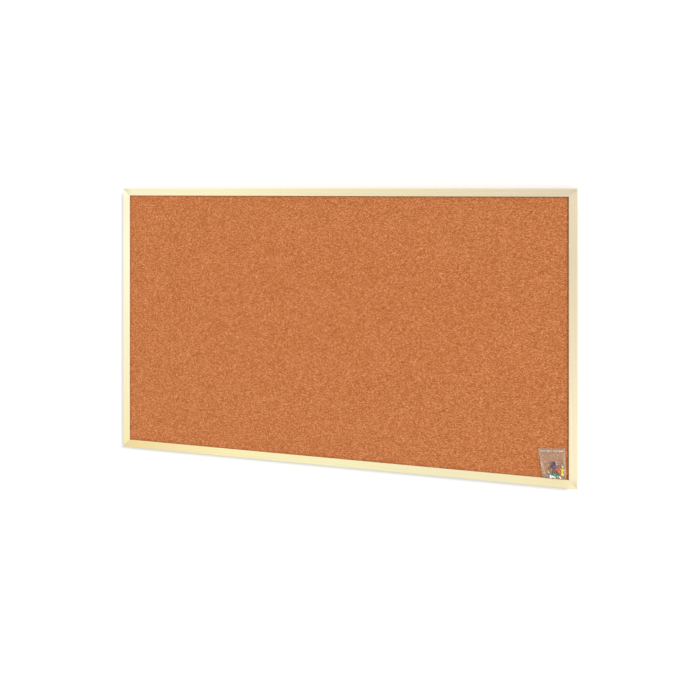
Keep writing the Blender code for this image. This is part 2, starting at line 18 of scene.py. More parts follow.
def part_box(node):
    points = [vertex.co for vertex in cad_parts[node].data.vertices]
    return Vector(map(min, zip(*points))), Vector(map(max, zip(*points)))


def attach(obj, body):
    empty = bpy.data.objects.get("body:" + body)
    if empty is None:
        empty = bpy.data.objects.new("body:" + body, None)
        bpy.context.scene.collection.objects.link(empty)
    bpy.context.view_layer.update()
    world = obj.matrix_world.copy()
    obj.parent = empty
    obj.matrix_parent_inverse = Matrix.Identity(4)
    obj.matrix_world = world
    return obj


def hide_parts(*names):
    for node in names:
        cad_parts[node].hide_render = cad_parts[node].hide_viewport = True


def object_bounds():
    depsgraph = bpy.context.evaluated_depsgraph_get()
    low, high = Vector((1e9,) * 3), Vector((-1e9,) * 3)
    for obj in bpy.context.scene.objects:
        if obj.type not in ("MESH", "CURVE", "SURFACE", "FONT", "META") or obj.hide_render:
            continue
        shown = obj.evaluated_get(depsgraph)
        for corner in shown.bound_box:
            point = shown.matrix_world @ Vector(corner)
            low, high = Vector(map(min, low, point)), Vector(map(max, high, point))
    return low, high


bl_info = {
    "name": "Cork bulletin board",
    "version": (1, 0, 0),
    "blender": (4, 5, 0),
    "location": "3D View > Sidebar > Board",
    "description": "Builds the frame, panel, fittings and bag of push pins of a cork bulletin board",
    "category": "Object",
}

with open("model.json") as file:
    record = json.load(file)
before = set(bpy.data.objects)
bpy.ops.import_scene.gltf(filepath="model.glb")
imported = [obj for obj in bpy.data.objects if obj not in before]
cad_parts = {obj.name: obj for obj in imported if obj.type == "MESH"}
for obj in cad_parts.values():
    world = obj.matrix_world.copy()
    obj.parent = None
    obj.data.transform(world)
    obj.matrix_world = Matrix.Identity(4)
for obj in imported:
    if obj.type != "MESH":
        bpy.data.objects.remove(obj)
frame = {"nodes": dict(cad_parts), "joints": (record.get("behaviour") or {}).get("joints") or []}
CAD_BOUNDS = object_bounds()

MM = 0.001
GAP = 0.3 * MM
DOUBLES = 0.001 * MM
SLIVER = 0.012 * MM
FILM_WELD = 0.004 * MM
KNUCKLE_SWEEP_DEG = 285
RAILS = ("top_rail", "bottom_rail", "left_stile", "right_stile")
CORNERS = {"upper_left": (-1, 1), "upper_right": (1, 1), "lower_left": (-1, -1), "lower_right": (1, -1)}
NAILS = tuple("corner_nail_" + corner for corner in CORNERS)
TABS = tuple(sorted(name for name in frame["nodes"] if name.startswith("panel_tab_")))
SCREWS = tuple(sorted(name for name in frame["nodes"] if name.startswith("hanger_screw_")))
PIN_COLOURS = ("blue", "coral", "green", "yellow", "white")
JOINT_PLACES = {joint["name"]: joint.get("pos_m") for joint in frame["joints"]}

FRAME_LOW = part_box("bottom_rail")[0]
FRAME_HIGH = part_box("top_rail")[1]
BOARD_CENTRE = (FRAME_LOW + FRAME_HIGH) / 2
CORK_LOW, CORK_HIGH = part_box("cork_sheet")
FACE_WIDTH = FRAME_HIGH.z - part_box("top_rail")[0].z


# Settings ------------------------------------------------------------------------------------------


def length_setting(name, description, default):
    """A length setting, in metres."""
    return FloatProperty(name=name, description=description, default=default, unit="LENGTH")


def share_setting(name, description, default):
    """A setting from 0 to 1."""
    return FloatProperty(name=name, description=description, default=default, min=0.0, max=1.0)


def colour_setting(name, description, default):
    """A colour setting, in linear light."""
    return FloatVectorProperty(name=name, description=description, default=default, subtype="COLOR",
                               min=0.0, max=1.0)


# Colour --------------------------------------------------------------------------------------------


def linear(red, green, blue):
    """Linear light from a colour given in steps of 0 to 255, as a display counts them."""
    found = []
    for value in (red, green, blue):
        share = value / 255
        found.append(share / 12.92 if share <= 0.04045 else ((share + 0.055) / 1.055) ** 2.4)
    return tuple(found)


def surface(red, green, blue):
    """The surface colour that shows as a display colour under the studio's light."""
    level = bpy.context.scene.board_studio.light_level
    return tuple(min(value / level, 0.93) for value in linear(red, green, blue))


def opaque(colour):
    """A colour with full alpha, as node sockets want it."""
    return (*tuple(colour)[:3], 1.0)


# Node trees ----------------------------------------------------------------------------------------


class Graph:
    """Adds and joins the nodes of one tree."""

    def __init__(self, tree):
        self.tree = tree

    def put(self, socket, value):
        """Join a socket to another, or give it a plain value."""
        if isinstance(value, bpy.types.NodeSocket):
            self.tree.links.new(value, socket)
        else:
            socket.default_value = value

    def add(self, kind, settings=(), **inputs):
        """Add a node with its settings, and its inputs named with _ for each space."""
        node = self.tree.nodes.new(kind)
        for name, value in dict(settings).items():
            setattr(node, name, value)
        for name, value in inputs.items():
            self.put(node.inputs[name.replace("_", " ")], value)
        return node

    def math(self, operation, first, second=0.0):
        """One step of arithmetic."""
        node = self.tree.nodes.new("ShaderNodeMath")
        node.operation = operation
        self.put(node.inputs[0], first)
        self.put(node.inputs[1], second)
        return node.outputs[0]

    def times(self, first, second):
        """The product of two values."""
        return self.math("MULTIPLY", first, second)

    def plus(self, first, second):
        """The sum of two values."""
        return self.math("ADD", first, second)

    def less(self, first, second):
        """The first value less the second."""
        return self.math("SUBTRACT", first, second)

    def most(self, first, second):
        """The larger of two values."""
        return self.math("MAXIMUM", first, second)

    def mix(self, factor, first, second, blend="MIX"):
        """A mix of two colours."""
        node = self.tree.nodes.new("ShaderNodeMix")
        node.data_type = "RGBA"
        node.blend_type = blend
        self.put(node.inputs[0], factor)
        self.put(node.inputs[6], first)
        self.put(node.inputs[7], second)
        return node.outputs[2]

    def span(self, value, low, high, out_low=0.0, out_high=1.0):
        """A value moved from one range to another, and held inside it."""
        node = self.add("ShaderNodeMapRange")
        for name, number in (("Value", value), ("From Min", low), ("From Max", high)):
            self.put(node.inputs[name], number)
        self.put(node.inputs["To Min"], out_low)
        self.put(node.inputs["To Max"], out_high)
        return node.outputs[0]

    def noise(self, vector, scale, detail=3.0, roughness=0.5, distortion=0.0):
        """Smooth noise round one half."""
        sizes = {"Scale": scale, "Detail": detail, "Roughness": roughness, "Distortion": distortion}
        return self.add("ShaderNodeTexNoise", Vector=vector, **sizes).outputs[0]

    def stretched(self, vector, scale, turn=(0.0, 0.0, 0.0)):
        """A vector turned and then stretched."""
        turned = self.add("ShaderNodeMapping", Vector=vector, Rotation=turn).outputs[0]
        return self.add("ShaderNodeMapping", Vector=turned, Scale=scale).outputs[0]

    def ramp(self, value, stops):
        """A colour ramp through (place, colour) stops."""
        node = self.add("ShaderNodeValToRGB", Fac=value)
        elements = node.color_ramp.elements
        while len(elements) < len(stops):
            elements.new(1.0)
        for element, (place, colour) in zip(elements, stops):
            element.position = place
            element.color = opaque(colour)
        return node.outputs[0]

    def group(self, name, **inputs):
        """Place a shared node group and return its outputs."""
        node = self.add("ShaderNodeGroup", {"node_tree": shared_group(name)}, **inputs)
        return node.outputs


def shared_group(name):
    """A shared shader group, built the first time that it is asked for."""
    return bpy.data.node_groups.get(name) or GROUP_MAKERS[name](name)


def new_group(name, inputs, outputs):
    """An empty shader group: its graph, its input sockets and its output sockets."""
    tree = bpy.data.node_groups.new(name, "ShaderNodeTree")
    tree.interface.new_socket("Vector", in_out="INPUT", socket_type="NodeSocketVector")
    for label, default in inputs:
        socket = tree.interface.new_socket(label, in_out="INPUT", socket_type="NodeSocketFloat")
        socket.default_value = default
    for label in outputs:
        tree.interface.new_socket(label, in_out="OUTPUT", socket_type="NodeSocketFloat")
    entry = tree.nodes.new("NodeGroupInput")
    leave = tree.nodes.new("NodeGroupOutput")
    return Graph(tree), entry.outputs, leave.inputs


def mottle_group(name):
    """Cloudy patches, from 0 to 1."""
    graph, taken, given = new_group(name, (("Scale", 60.0), ("Contrast", 1.0)), ("Value",))
    broad = graph.noise(taken["Vector"], taken["Scale"], 4.0, 0.6, 0.3)
    half = graph.times(graph.less(broad, 0.5), taken["Contrast"])
    value = graph.span(graph.plus(graph.times(half, 2.0), 0.5), 0.0, 1.0)
    graph.put(given["Value"], value)
    return graph.tree


def wood_grain_group(name):
    """Growth lines, fine fibres and pores that run along X."""
    inputs = (("Line spacing", 0.0035), ("Waviness", 1.0))
    graph, taken, given = new_group(name, inputs, ("Lines", "Fibres", "Pores"))
    vector = taken["Vector"]
    parts = graph.add("ShaderNodeSeparateXYZ", Vector=vector).outputs
    across = graph.plus(parts["Z"], graph.times(parts["Y"], 0.6))
    drift = graph.noise(graph.stretched(vector, (2.2, 30.0, 30.0)), 1.0, 2.0, 0.5)
    drift = graph.times(graph.less(drift, 0.5), taken["Waviness"])
    turns = graph.plus(graph.math("DIVIDE", across, taken["Line spacing"]), graph.times(drift, 6.0))
    wave = graph.math("SINE", graph.times(turns, 2 * math.pi))
    graph.put(given["Lines"], graph.math("POWER", graph.span(wave, -1.0, 1.0), 2.6))
    fibres = graph.noise(graph.stretched(vector, (35.0, 2600.0, 2600.0)), 1.0, 3.0, 0.6)
    graph.put(given["Fibres"], graph.span(fibres, 0.3, 0.7))
    pores = graph.noise(graph.stretched(vector, (260.0, 4200.0, 4200.0)), 1.0, 1.0, 0.5)
    graph.put(given["Pores"], graph.span(pores, 0.66, 0.78))
    return graph.tree


def edge_wear_group(name):
    """Where a rubbed edge shows: the "edge" attribute, broken up by noise."""
    graph, taken, given = new_group(name, (("Scale", 300.0), ("Amount", 0.7)), ("Mask",))
    edge = graph.add("ShaderNodeAttribute", {"attribute_name": "edge"}).outputs["Fac"]
    broken = graph.noise(taken["Vector"], taken["Scale"], 4.0, 0.65, 0.4)
    rubbed = graph.times(edge, graph.span(broken, 0.35, 0.7))
    graph.put(given["Mask"], graph.times(rubbed, taken["Amount"]))
    return graph.tree


def scuffs_group(name):
    """Thin scratches in two directions and a few dull spots."""
    graph, taken, given = new_group(name, (("Scale", 400.0), ("Amount", 0.5)), ("Mask",))
    vector = taken["Vector"]
    found = None
    for turn in (0.5, 1.9):
        lined = graph.stretched(vector, (1.0, 0.05, 0.9), (0.3 * turn, turn, 0.7))
        streak = graph.span(graph.noise(lined, taken["Scale"], 2.0, 0.5, 0.2), 0.62, 0.70)
        found = streak if found is None else graph.most(found, streak)
    spots = graph.span(graph.noise(vector, graph.times(taken["Scale"], 0.6), 3.0), 0.62, 0.75)
    graph.put(given["Mask"], graph.times(graph.most(found, spots), taken["Amount"]))
    return graph.tree


def fibre_mat_group(name):
    """Pressed fibres that lie every way in the plane of a sheet."""
    graph, taken, given = new_group(name, (("Scale", 500.0),), ("Value", "Height"))
    vector = taken["Vector"]
    found = None
    for turn in (0.2, 1.1, 2.3):
        lined = graph.stretched(vector, (0.12, 1.0, 1.0), (0.0, turn, 0.0))
        strand = graph.noise(lined, taken["Scale"], 3.0, 0.6, 0.8)
        found = strand if found is None else graph.most(found, strand)
    graph.put(given["Value"], graph.span(found, 0.45, 0.75))
    fine = graph.noise(vector, graph.times(taken["Scale"], 2.5), 2.0)
    graph.put(given["Height"], graph.plus(found, graph.times(fine, 0.4)))
    return graph.tree


GROUP_MAKERS = {
    "Mottle": mottle_group,
    "Wood grain": wood_grain_group,
    "Edge wear": edge_wear_group,
    "Scuffs": scuffs_group,
    "Fibre mat": fibre_mat_group,
}


# Materials -----------------------------------------------------------------------------------------


def new_material(name, **settings):
    """A material, its graph, its shader and the object's own coordinates."""
    made = bpy.data.materials.new(name)
    made.use_nodes = True
    graph = Graph(made.node_tree)
    shader = made.node_tree.nodes["Principled BSDF"]
    for label, value in settings.items():
        shader.inputs[label.replace("_", " ")].default_value = value
    place = graph.add("ShaderNodeTexCoord").outputs["Object"]
    return made, graph, shader, place


def finish(graph, shader, colour, roughness, height, distance, strength):
    """Give a shader its colour and roughness, and raise its surface by a height value."""
    graph.put(shader.inputs["Base Color"], colour)
    graph.put(shader.inputs["Roughness"], roughness)
    node = graph.add("ShaderNodeBump", Strength=strength, Distance=distance, Height=height)
    graph.put(shader.inputs["Normal"], node.outputs[0])


def pine_material(name, upright, tones_and_painted_shade):
    """Pale lacquered pine whose grain runs along a rail, with colour set at even steps along its length: the
    wood's own tone with painted shade, darker towards the top right where the light falls off.
    """
    looks = bpy.context.scene.board_frame
    made, graph, shader, place = new_material(name, Coat_Weight=0.15, Coat_Roughness=0.3)
    turn = (0.0, math.radians(90), 0.0) if upright else (0.0, 0.0, 0.0)
    vector = graph.add("ShaderNodeMapping", Vector=place, Rotation=turn).outputs[0]
    half = (FRAME_HIGH.z - FRAME_LOW.z) / 2 if upright else FRAME_HIGH.x
    middle = BOARD_CENTRE.z if upright else 0.0
    parts = graph.add("ShaderNodeSeparateXYZ", Vector=place).outputs
    along = graph.span(parts["Z" if upright else "X"], middle - half, middle + half)
    # The colour steps along the rail hold painted shade as well as the wood's tone: darker towards the
    # frame's top right corner.
    colour = graph.ramp(along, [(i / (len(tones_and_painted_shade) - 1), surface(*shown)) for i, shown in enumerate(tones_and_painted_shade)])
    grain = graph.group("Wood grain", Vector=vector, Line_spacing=0.0042, Waviness=1.0)
    clouds = graph.group("Mottle", Vector=vector, Scale=14.0, Contrast=1.0)["Value"]
    drawn_out = graph.stretched(vector, (0.02, 1.0, 1.0))
    bands = graph.group("Mottle", Vector=drawn_out, Scale=150.0, Contrast=1.5)["Value"]
    for mask, strength, stain in (
        (bands, 0.55, (0.97, 1.00, 0.86)),
        (grain["Lines"], 0.50, (0.96, 0.86, 0.66)),
        (grain["Fibres"], 0.26, (0.93, 0.86, 0.74)),
        (grain["Pores"], 0.35, (0.72, 0.58, 0.38)),
        (clouds, 0.20, (0.96, 0.92, 0.84)),
    ):
        colour = graph.mix(graph.times(mask, strength), colour, opaque(stain), "MULTIPLY")
    wear = graph.group("Edge wear", Vector=vector, Scale=220.0, Amount=0.40)["Mask"]
    colour = graph.mix(wear, colour, opaque(surface(255, 248, 226)))
    colour = graph.mix(raw_wood(graph, place, looks), colour, opaque(surface(255, 246, 230)))
    rough = graph.plus(graph.span(clouds, 0.0, 1.0, 0.38, 0.52), graph.times(wear, 0.2))
    height = graph.less(graph.plus(grain["Fibres"], graph.times(grain["Lines"], 0.6)), grain["Pores"])
    finish(graph, shader, colour, rough, height, 0.05 * MM, 0.6)
    return made


def raw_wood(graph, place, looks):
    """How bare the wood is: up to 0.75 in the nick, and 0 away from it."""
    away = graph.add("ShaderNodeVectorMath", {"operation": "DISTANCE"})
    graph.put(away.inputs[0], place)
    graph.put(away.inputs[1], nick_place(looks))
    bare = graph.span(away.outputs["Value"], 0.42 * looks.nick_length, 0.18 * looks.nick_length)
    return graph.times(bare, 0.75)


def cork_material():
    """Pressed cork granules with short light and dark flecks."""
    looks = bpy.context.scene.board_panel
    made, graph, shader, place = new_material("cork", Specular_IOR_Level=0.15)
    size = looks.granule_size
    bent = bent_space(graph, graph.stretched(place, (0.62, 1.0, 1.0)), size)
    cells = graph.add("ShaderNodeTexVoronoi", Vector=bent, Scale=1 / size).outputs
    shade = graph.add("ShaderNodeSeparateColor", Color=cells["Color"]).outputs[0]
    seams = graph.add("ShaderNodeTexVoronoi", {"feature": "DISTANCE_TO_EDGE"}, Vector=bent, Scale=1 / size)
    seam = graph.span(seams.outputs["Distance"], 0.02, 0.22)
    flecks = graph.noise(graph.stretched(place, (0.46, 1.0, 1.45)), 1.2 / size, 2.0, 0.6, 1.0)
    crumbs = graph.noise(place, 4.5 / size, 2.0, 0.6, 0.3)
    clouds = graph.group("Mottle", Vector=place, Scale=9.0, Contrast=0.7)["Value"]
    value = graph.times(graph.less(flecks, 0.5), looks.fleck_contrast)
    for part, weight in ((shade, 0.36), (seam, 0.26), (crumbs, 0.8), (clouds, 0.02)):
        value = graph.plus(value, graph.times(graph.less(part, 0.5), weight))
    value = graph.plus(value, 0.42)
    low, middle, high = (surface(*shown) for shown in ((155, 78, 28), (201, 122, 69), (246, 170, 124)))
    colour = graph.ramp(graph.span(value, 0.0, 1.0), ((0.0, low), (0.5, middle), (1.0, high)))
    bark = graph.span(graph.noise(graph.stretched(place, (0.7, 1.0, 1.0)), 1.1 / size, 1.0), 0.74, 0.78)
    colour = graph.mix(graph.times(bark, 0.55), colour, opaque(surface(128, 66, 34)))
    height = graph.plus(graph.plus(graph.times(seam, 0.6), flecks), graph.times(crumbs, 0.4))
    finish(graph, shader, colour, graph.span(value, 0.0, 1.0, 0.98, 0.86), height, 0.25 * MM, 0.7)
    return made


def bent_space(graph, vector, size):
    """A vector pushed about by noise, so that granules of a size get uneven outlines."""
    push = graph.add("ShaderNodeTexNoise", Vector=vector, Scale=0.8 / size, Detail=1.0).outputs["Color"]
    push = graph.add("ShaderNodeVectorMath", {"operation": "SCALE"}, Vector=push, Scale=0.7 * size)
    bent = graph.add("ShaderNodeVectorMath", {"operation": "ADD"})
    graph.put(bent.inputs[0], vector)
    graph.put(bent.inputs[1], push.outputs[0])
    return bent.outputs[0]


def fibre_material(name, dark, pale, scale, screen_pitch):
    """Pressed wood fibre, with the print of a woven screen where a pitch is given."""
    made, graph, shader, place = new_material(name, IOR=1.4)
    mat = graph.group("Fibre mat", Vector=place, Scale=scale)
    clouds = graph.group("Mottle", Vector=place, Scale=22.0, Contrast=1.1)["Value"]
    wear = graph.group("Edge wear", Vector=place, Scale=260.0, Amount=0.5)["Mask"]
    fluff = graph.plus(graph.times(mat["Value"], 0.6), graph.times(clouds, 0.4))
    colour = graph.mix(fluff, opaque(dark), opaque(pale))
    height = mat["Height"]
    if screen_pitch:
        parts = graph.add("ShaderNodeSeparateXYZ", Vector=place).outputs
        turns = 2 * math.pi / screen_pitch
        warp, weft = (graph.math("SINE", graph.times(parts[axis], turns)) for axis in ("X", "Z"))
        weave = graph.span(graph.times(warp, weft), -1.0, 1.0)
        height = graph.plus(graph.times(height, 0.5), weave)
        colour = graph.mix(graph.times(weave, 0.3), colour, opaque(pale))
    colour = graph.mix(wear, colour, opaque(pale))
    finish(graph, shader, colour, graph.span(fluff, 0.0, 1.0, 0.9, 0.62), height, 0.18 * MM, 0.7)
    return made


def steel_material(name, colour, roughness, scale):
    """Bright steel with fine rolling lines, dull spots, scratches and rubbed edges."""
    made, graph, shader, place = new_material(name, Metallic=1.0)
    clouds = graph.group("Mottle", Vector=place, Scale=scale, Contrast=1.2)["Value"]
    scuffs = graph.group("Scuffs", Vector=place, Scale=scale * 6, Amount=0.7)["Mask"]
    wear = graph.group("Edge wear", Vector=place, Scale=scale * 5, Amount=0.8)["Mask"]
    lines = graph.noise(graph.stretched(place, (30.0, 30.0, 1.0)), 120.0, 2.0)
    dim = tuple(0.74 * value for value in colour)
    bright = tuple(min(1.0, 1.25 * value) for value in colour)
    tone = graph.mix(wear, graph.mix(clouds, opaque(dim), opaque(colour)), opaque(bright))
    tone = graph.mix(scuffs, tone, opaque(dim))
    rough = graph.span(clouds, 0.0, 1.0, roughness - 0.06, roughness + 0.08)
    rough = graph.plus(rough, graph.times(scuffs, 0.15))
    finish(graph, shader, tone, rough, graph.plus(lines, scuffs), 0.02 * MM, 0.5)
    return made


def moulded_material(name, colour, roughness, scale, coat=0.0):
    """Moulded plastic or rubber with flow marks, fine pitting, scuffs and paler rubbed edges."""
    made, graph, shader, place = new_material(
        name, Coat_Weight=coat, Coat_Roughness=0.08, Specular_IOR_Level=0.35)
    flow = graph.group("Mottle", Vector=place, Scale=scale, Contrast=1.0)["Value"]
    scuffs = graph.group("Scuffs", Vector=place, Scale=scale * 4, Amount=0.5)["Mask"]
    wear = graph.group("Edge wear", Vector=place, Scale=scale * 4, Amount=0.35)["Mask"]
    deep = tuple(0.80 * value for value in colour)
    pale = tuple(min(1.0, 0.75 * value + 0.12) for value in colour)
    tone = graph.mix(flow, opaque(deep), opaque(colour))
    tone = graph.mix(graph.most(wear, graph.times(scuffs, 0.4)), tone, opaque(pale))
    rough = graph.span(flow, 0.0, 1.0, roughness - 0.04, roughness + 0.06)
    rough = graph.plus(rough, graph.times(scuffs, 0.2))
    height = graph.plus(flow, graph.times(graph.noise(place, scale * 30, 2.0), 0.15))
    finish(graph, shader, tone, rough, height, 0.04 * MM, 0.4)
    return made


def film_material():
    """Thin clear film: hazy where the haze attribute says, and white where a vertex mask marks painted
    glints along the folds and whitened welds, seal line and mouth edge. A faint painted sheen runs along the
    wrinkle ridges.
    """
    looks = bpy.context.scene.board_bag
    made, graph, shader, place = new_material("clear_film", IOR=1.5, Specular_IOR_Level=0.8)
    crease = graph.add("ShaderNodeAttribute", {"attribute_name": "crease"}).outputs["Fac"]
    haze = graph.add("ShaderNodeAttribute", {"attribute_name": "haze"}).outputs["Fac"]
    clouds = graph.group("Mottle", Vector=place, Scale=120.0, Contrast=1.6)["Value"]
    wrinkles = graph.noise(graph.stretched(place, (1.0, 1.0, 0.45), (0.0, 0.5, 0.0)), 300.0, 2.0, 0.5, 0.8)
    # Thin lines along the wrinkle ridges: a faint painted sheen in the colour, and a bump as well.
    ridges_and_sheen = graph.span(graph.math("ABSOLUTE", graph.less(wrinkles, 0.5)), 0.035, 0.0)
    scuffs = graph.group("Scuffs", Vector=place, Scale=900.0, Amount=0.35)["Mask"]
    # Painted glints: the film turns white and more opaque along the marked folds, broken up by clouds.
    lit = graph.times(crease, graph.span(clouds, 0.15, 0.7, 0.35, 1.0))
    white = graph.most(lit, graph.most(graph.times(ridges_and_sheen, 0.09), graph.times(scuffs, 0.2)))
    colour = graph.mix(white, opaque(looks.film_colour), opaque((0.95, 0.94, 0.93)))
    veil = graph.times(haze, graph.span(clouds, 0.0, 1.0, 0.75, 1.25))
    alpha = graph.plus(veil, graph.times(white, looks.fold_glint_white))
    graph.put(shader.inputs["Alpha"], graph.span(alpha, 0.0, 1.0))
    height = graph.plus(wrinkles, graph.times(ridges_and_sheen, 0.3))
    finish(graph, shader, colour, graph.span(clouds, 0.0, 1.0, 0.10, 0.24), height, 0.15 * MM, 0.5)
    return made


def glue_material():
    """Soft amber glue with crumbs of cork and tiny bubbles in it."""
    made, graph, shader, place = new_material("soft_glue", IOR=1.45, Specular_IOR_Level=0.3)
    crumbs = graph.noise(graph.stretched(place, (0.5, 1.0, 1.0)), 600.0, 3.0, 0.6, 1.0)
    bubbles = graph.add("ShaderNodeTexVoronoi", Vector=place, Scale=1400.0).outputs["Distance"]
    bubbles = graph.span(bubbles, 0.3, 0.2)
    wear = graph.group("Edge wear", Vector=place, Scale=900.0, Amount=0.4)["Mask"]
    amber = graph.ramp(crumbs, ((0.3, surface(172, 96, 48)), (0.7, surface(222, 142, 94))))
    pale = graph.most(graph.times(bubbles, 0.15), graph.times(wear, 0.4))
    colour = graph.mix(pale, amber, opaque((0.80, 0.66, 0.45)))
    rough = graph.span(crumbs, 0.3, 0.7, 0.25, 0.5)
    finish(graph, shader, colour, rough, graph.plus(crumbs, bubbles), 0.08 * MM, 0.6)
    return made


# Mesh tools ----------------------------------------------------------------------------------------


def scratch(name, mesh):
    """Link a mesh as a working object."""
    made = bpy.data.objects.new(name, mesh)
    bpy.context.scene.collection.objects.link(made)
    return made


def taken_mesh(source):
    """The mesh of a working object with its modifiers applied. The object is removed."""
    bpy.context.view_layer.update()
    graph = bpy.context.evaluated_depsgraph_get()
    mesh = bpy.data.meshes.new_from_object(
        source.evaluated_get(graph), preserve_all_data_layers=True, depsgraph=graph)
    bpy.data.objects.remove(source, do_unlink=True)
    return mesh


def mesh_from(shape, name):
    """A mesh from a bmesh, which is freed."""
    mesh = bpy.data.meshes.new(name)
    shape.to_mesh(mesh)
    shape.free()
    return mesh


def mesh_of(shape, name):
    """A mesh from a bmesh, with its doubles merged and its faces turned outwards."""
    bmesh.ops.remove_doubles(shape, verts=shape.verts, dist=DOUBLES)
    bmesh.ops.recalc_face_normals(shape, faces=shape.faces)
    return mesh_from(shape, name)


def woven(shape, rows):
    """Fill in the faces between equal rows of vertices."""
    for before, after in zip(rows, rows[1:]):
        for i in range(len(before) - 1):
            shape.faces.new((before[i], before[i + 1], after[i + 1], after[i]))


def lofted(shape, rings):
    """Join equal rings of vertices into a tube and close its ends."""
    woven(shape, [ring + ring[:1] for ring in rings])
    shape.faces.new(rings[0])
    shape.faces.new(rings[-1])


def cut(mesh, cutter):
    """A mesh with another taken out of it."""
    target = scratch("target", mesh)
    tool = scratch("tool", cutter)
    boolean = target.modifiers.new("cut", "BOOLEAN")
    boolean.operation = "DIFFERENCE"
    boolean.solver = "EXACT"
    boolean.object = tool
    made = taken_mesh(target)
    bpy.data.objects.remove(tool, do_unlink=True)
    return without_slivers(made)


def without_slivers(mesh):
    """A mesh without the hair-thin faces, and the pairs of faces back to back, that a cut can leave."""
    shape = bmesh.new()
    shape.from_mesh(mesh)
    bmesh.ops.remove_doubles(shape, verts=shape.verts, dist=SLIVER)
    bmesh.ops.dissolve_degenerate(shape, edges=shape.edges, dist=SLIVER)
    bmesh.ops.triangulate(shape, faces=shape.faces)
    groups = {}
    for face in shape.faces:
        groups.setdefault(frozenset(face.verts), []).append(face)
    twins = [face for group in groups.values() if len(group) > 1 for face in group]
    bmesh.ops.delete(shape, geom=twins, context="FACES")
    bmesh.ops.recalc_face_normals(shape, faces=shape.faces)
    shape.to_mesh(mesh)
    shape.free()
    return mesh


def eased(mesh, width, segments=2):
    """A mesh with its sharp edges rounded over."""
    target = scratch("target", mesh)
    bevel = target.modifiers.new("easing", "BEVEL")
    bevel.width = width
    bevel.segments = segments
    bevel.limit_method = "ANGLE"
    bevel.angle_limit = math.radians(50)
    return taken_mesh(target)


def shaded(mesh, angle_deg=35):
    """A mesh shaded smooth, with flat faces kept flat and its "edge" attribute written."""
    mark_edges(mesh)
    mesh.shade_smooth()
    mesh.set_sharp_from_angle(angle=math.radians(angle_deg))
    target = scratch("target", mesh)
    weighted = target.modifiers.new("even_shading", "WEIGHTED_NORMAL")
    weighted.keep_sharp = True
    return taken_mesh(target)


def mark_edges(mesh, radius=0.9 * MM):
    """Write "edge": 1 where the surface turns outwards as tightly as a radius, and 0 where it is flat."""
    shape = bmesh.new()
    shape.from_mesh(mesh)
    values = []
    for vertex in shape.verts:
        found = 0.0
        for edge in vertex.link_edges:
            length = edge.calc_length()
            if len(edge.link_faces) != 2 or length < 1e-7:
                continue
            width = max(face.calc_area() for face in edge.link_faces) / length
            found = max(found, edge.calc_face_angle_signed(0.0) / max(width, 1e-6))
        values.append(min(1.0, found * radius))
    shape.free()
    attribute = mesh.attributes.new("edge", "FLOAT", "POINT")
    attribute.data.foreach_set("value", values)


def room_around(nodes, gap, pulled_to=None):
    """A cutter that leaves a gap round CAD solids, their backs pulled to a depth if one is given."""
    shape = bmesh.new()
    for node in nodes:
        shape.from_mesh(frame["nodes"][node].data)
    bmesh.ops.remove_doubles(shape, verts=shape.verts, dist=DOUBLES)
    bmesh.ops.dissolve_limit(shape, angle_limit=math.radians(1), verts=shape.verts, edges=shape.edges)
    shape.normal_update()
    moves = [(v, v.co + v.normal * gap * min(v.calc_shell_factor(), 2.0)) for v in shape.verts]
    back = max(v.co.y for v in shape.verts)
    for vertex, place in moves:
        if pulled_to is not None and back - vertex.co.y < gap:
            place.y = pulled_to
        vertex.co = place
    return mesh_of(shape, "room")


def arc(centre, radius, start_deg, end_deg, steps):
    """Points of an arc, both ends included."""
    points = []
    for i in range(steps + 1):
        angle = math.radians(start_deg + (end_deg - start_deg) * i / steps)
        points.append((centre[0] + radius * math.cos(angle), centre[1] + radius * math.sin(angle)))
    return points


def rounded(points, passes=2):
    """An open line of points with its corners cut again and again, inside the line it came from."""
    for _ in range(passes):
        softer = [points[0]]
        for (x0, y0), (x1, y1) in zip(points, points[1:]):
            softer.append((0.75 * x0 + 0.25 * x1, 0.75 * y0 + 0.25 * y1))
            softer.append((0.25 * x0 + 0.75 * x1, 0.25 * y0 + 0.75 * y1))
        softer.append(points[-1])
        points = softer
    return points


def turned_mesh(name, profile, steps):
    """A solid turned about Z from (radius, height) points whose first and last lie on the axis."""
    shape = bmesh.new()
    verts = [shape.verts.new((radius, 0.0, height)) for radius, height in profile]
    edges = [shape.edges.new(pair) for pair in zip(verts, verts[1:])]
    bmesh.ops.spin(shape, geom=verts + edges, cent=(0, 0, 0), axis=(0, 0, 1), angle=2 * math.pi,
                   steps=steps, use_merge=True)
    return mesh_of(shape, name)


def swept_mesh(name, path, radius):
    """A closed round wire along (x, z) points."""
    curve = bpy.data.curves.new(name, "CURVE")
    curve.dimensions = "3D"
    curve.bevel_depth = radius
    curve.bevel_resolution = 5
    spline = curve.splines.new("POLY")
    spline.points.add(len(path) - 1)
    for point, (x, z) in zip(spline.points, path):
        point.co = (x, 0.0, z, 1.0)
    spline.use_cyclic_u = True
    mesh = taken_mesh(scratch(name, curve))
    mesh.shade_smooth()
    return mesh


def add_piece(name, mesh, material, body, nodes):
    """Link a finished mesh as a piece that rides on a body and stands for CAD nodes."""
    mesh.materials.clear()
    mesh.materials.append(material)
    made = scratch(name, mesh)
    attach(made, body)
    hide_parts(*nodes)
    return made


# Geometry Nodes ------------------------------------------------------------------------------------


def new_tree(name, inputs):
    """A Geometry Nodes tree with named inputs: its graph, its input sockets and its output sockets."""
    tree = bpy.data.node_groups.new(name, "GeometryNodeTree")
    for label, kind in inputs:
        tree.interface.new_socket(label, in_out="INPUT", socket_type="NodeSocket" + kind)
    tree.interface.new_socket("Geometry", in_out="OUTPUT", socket_type="NodeSocketGeometry")
    entry = tree.nodes.new("NodeGroupInput")
    leave = tree.nodes.new("NodeGroupOutput")
    return Graph(tree), entry.outputs, leave.inputs


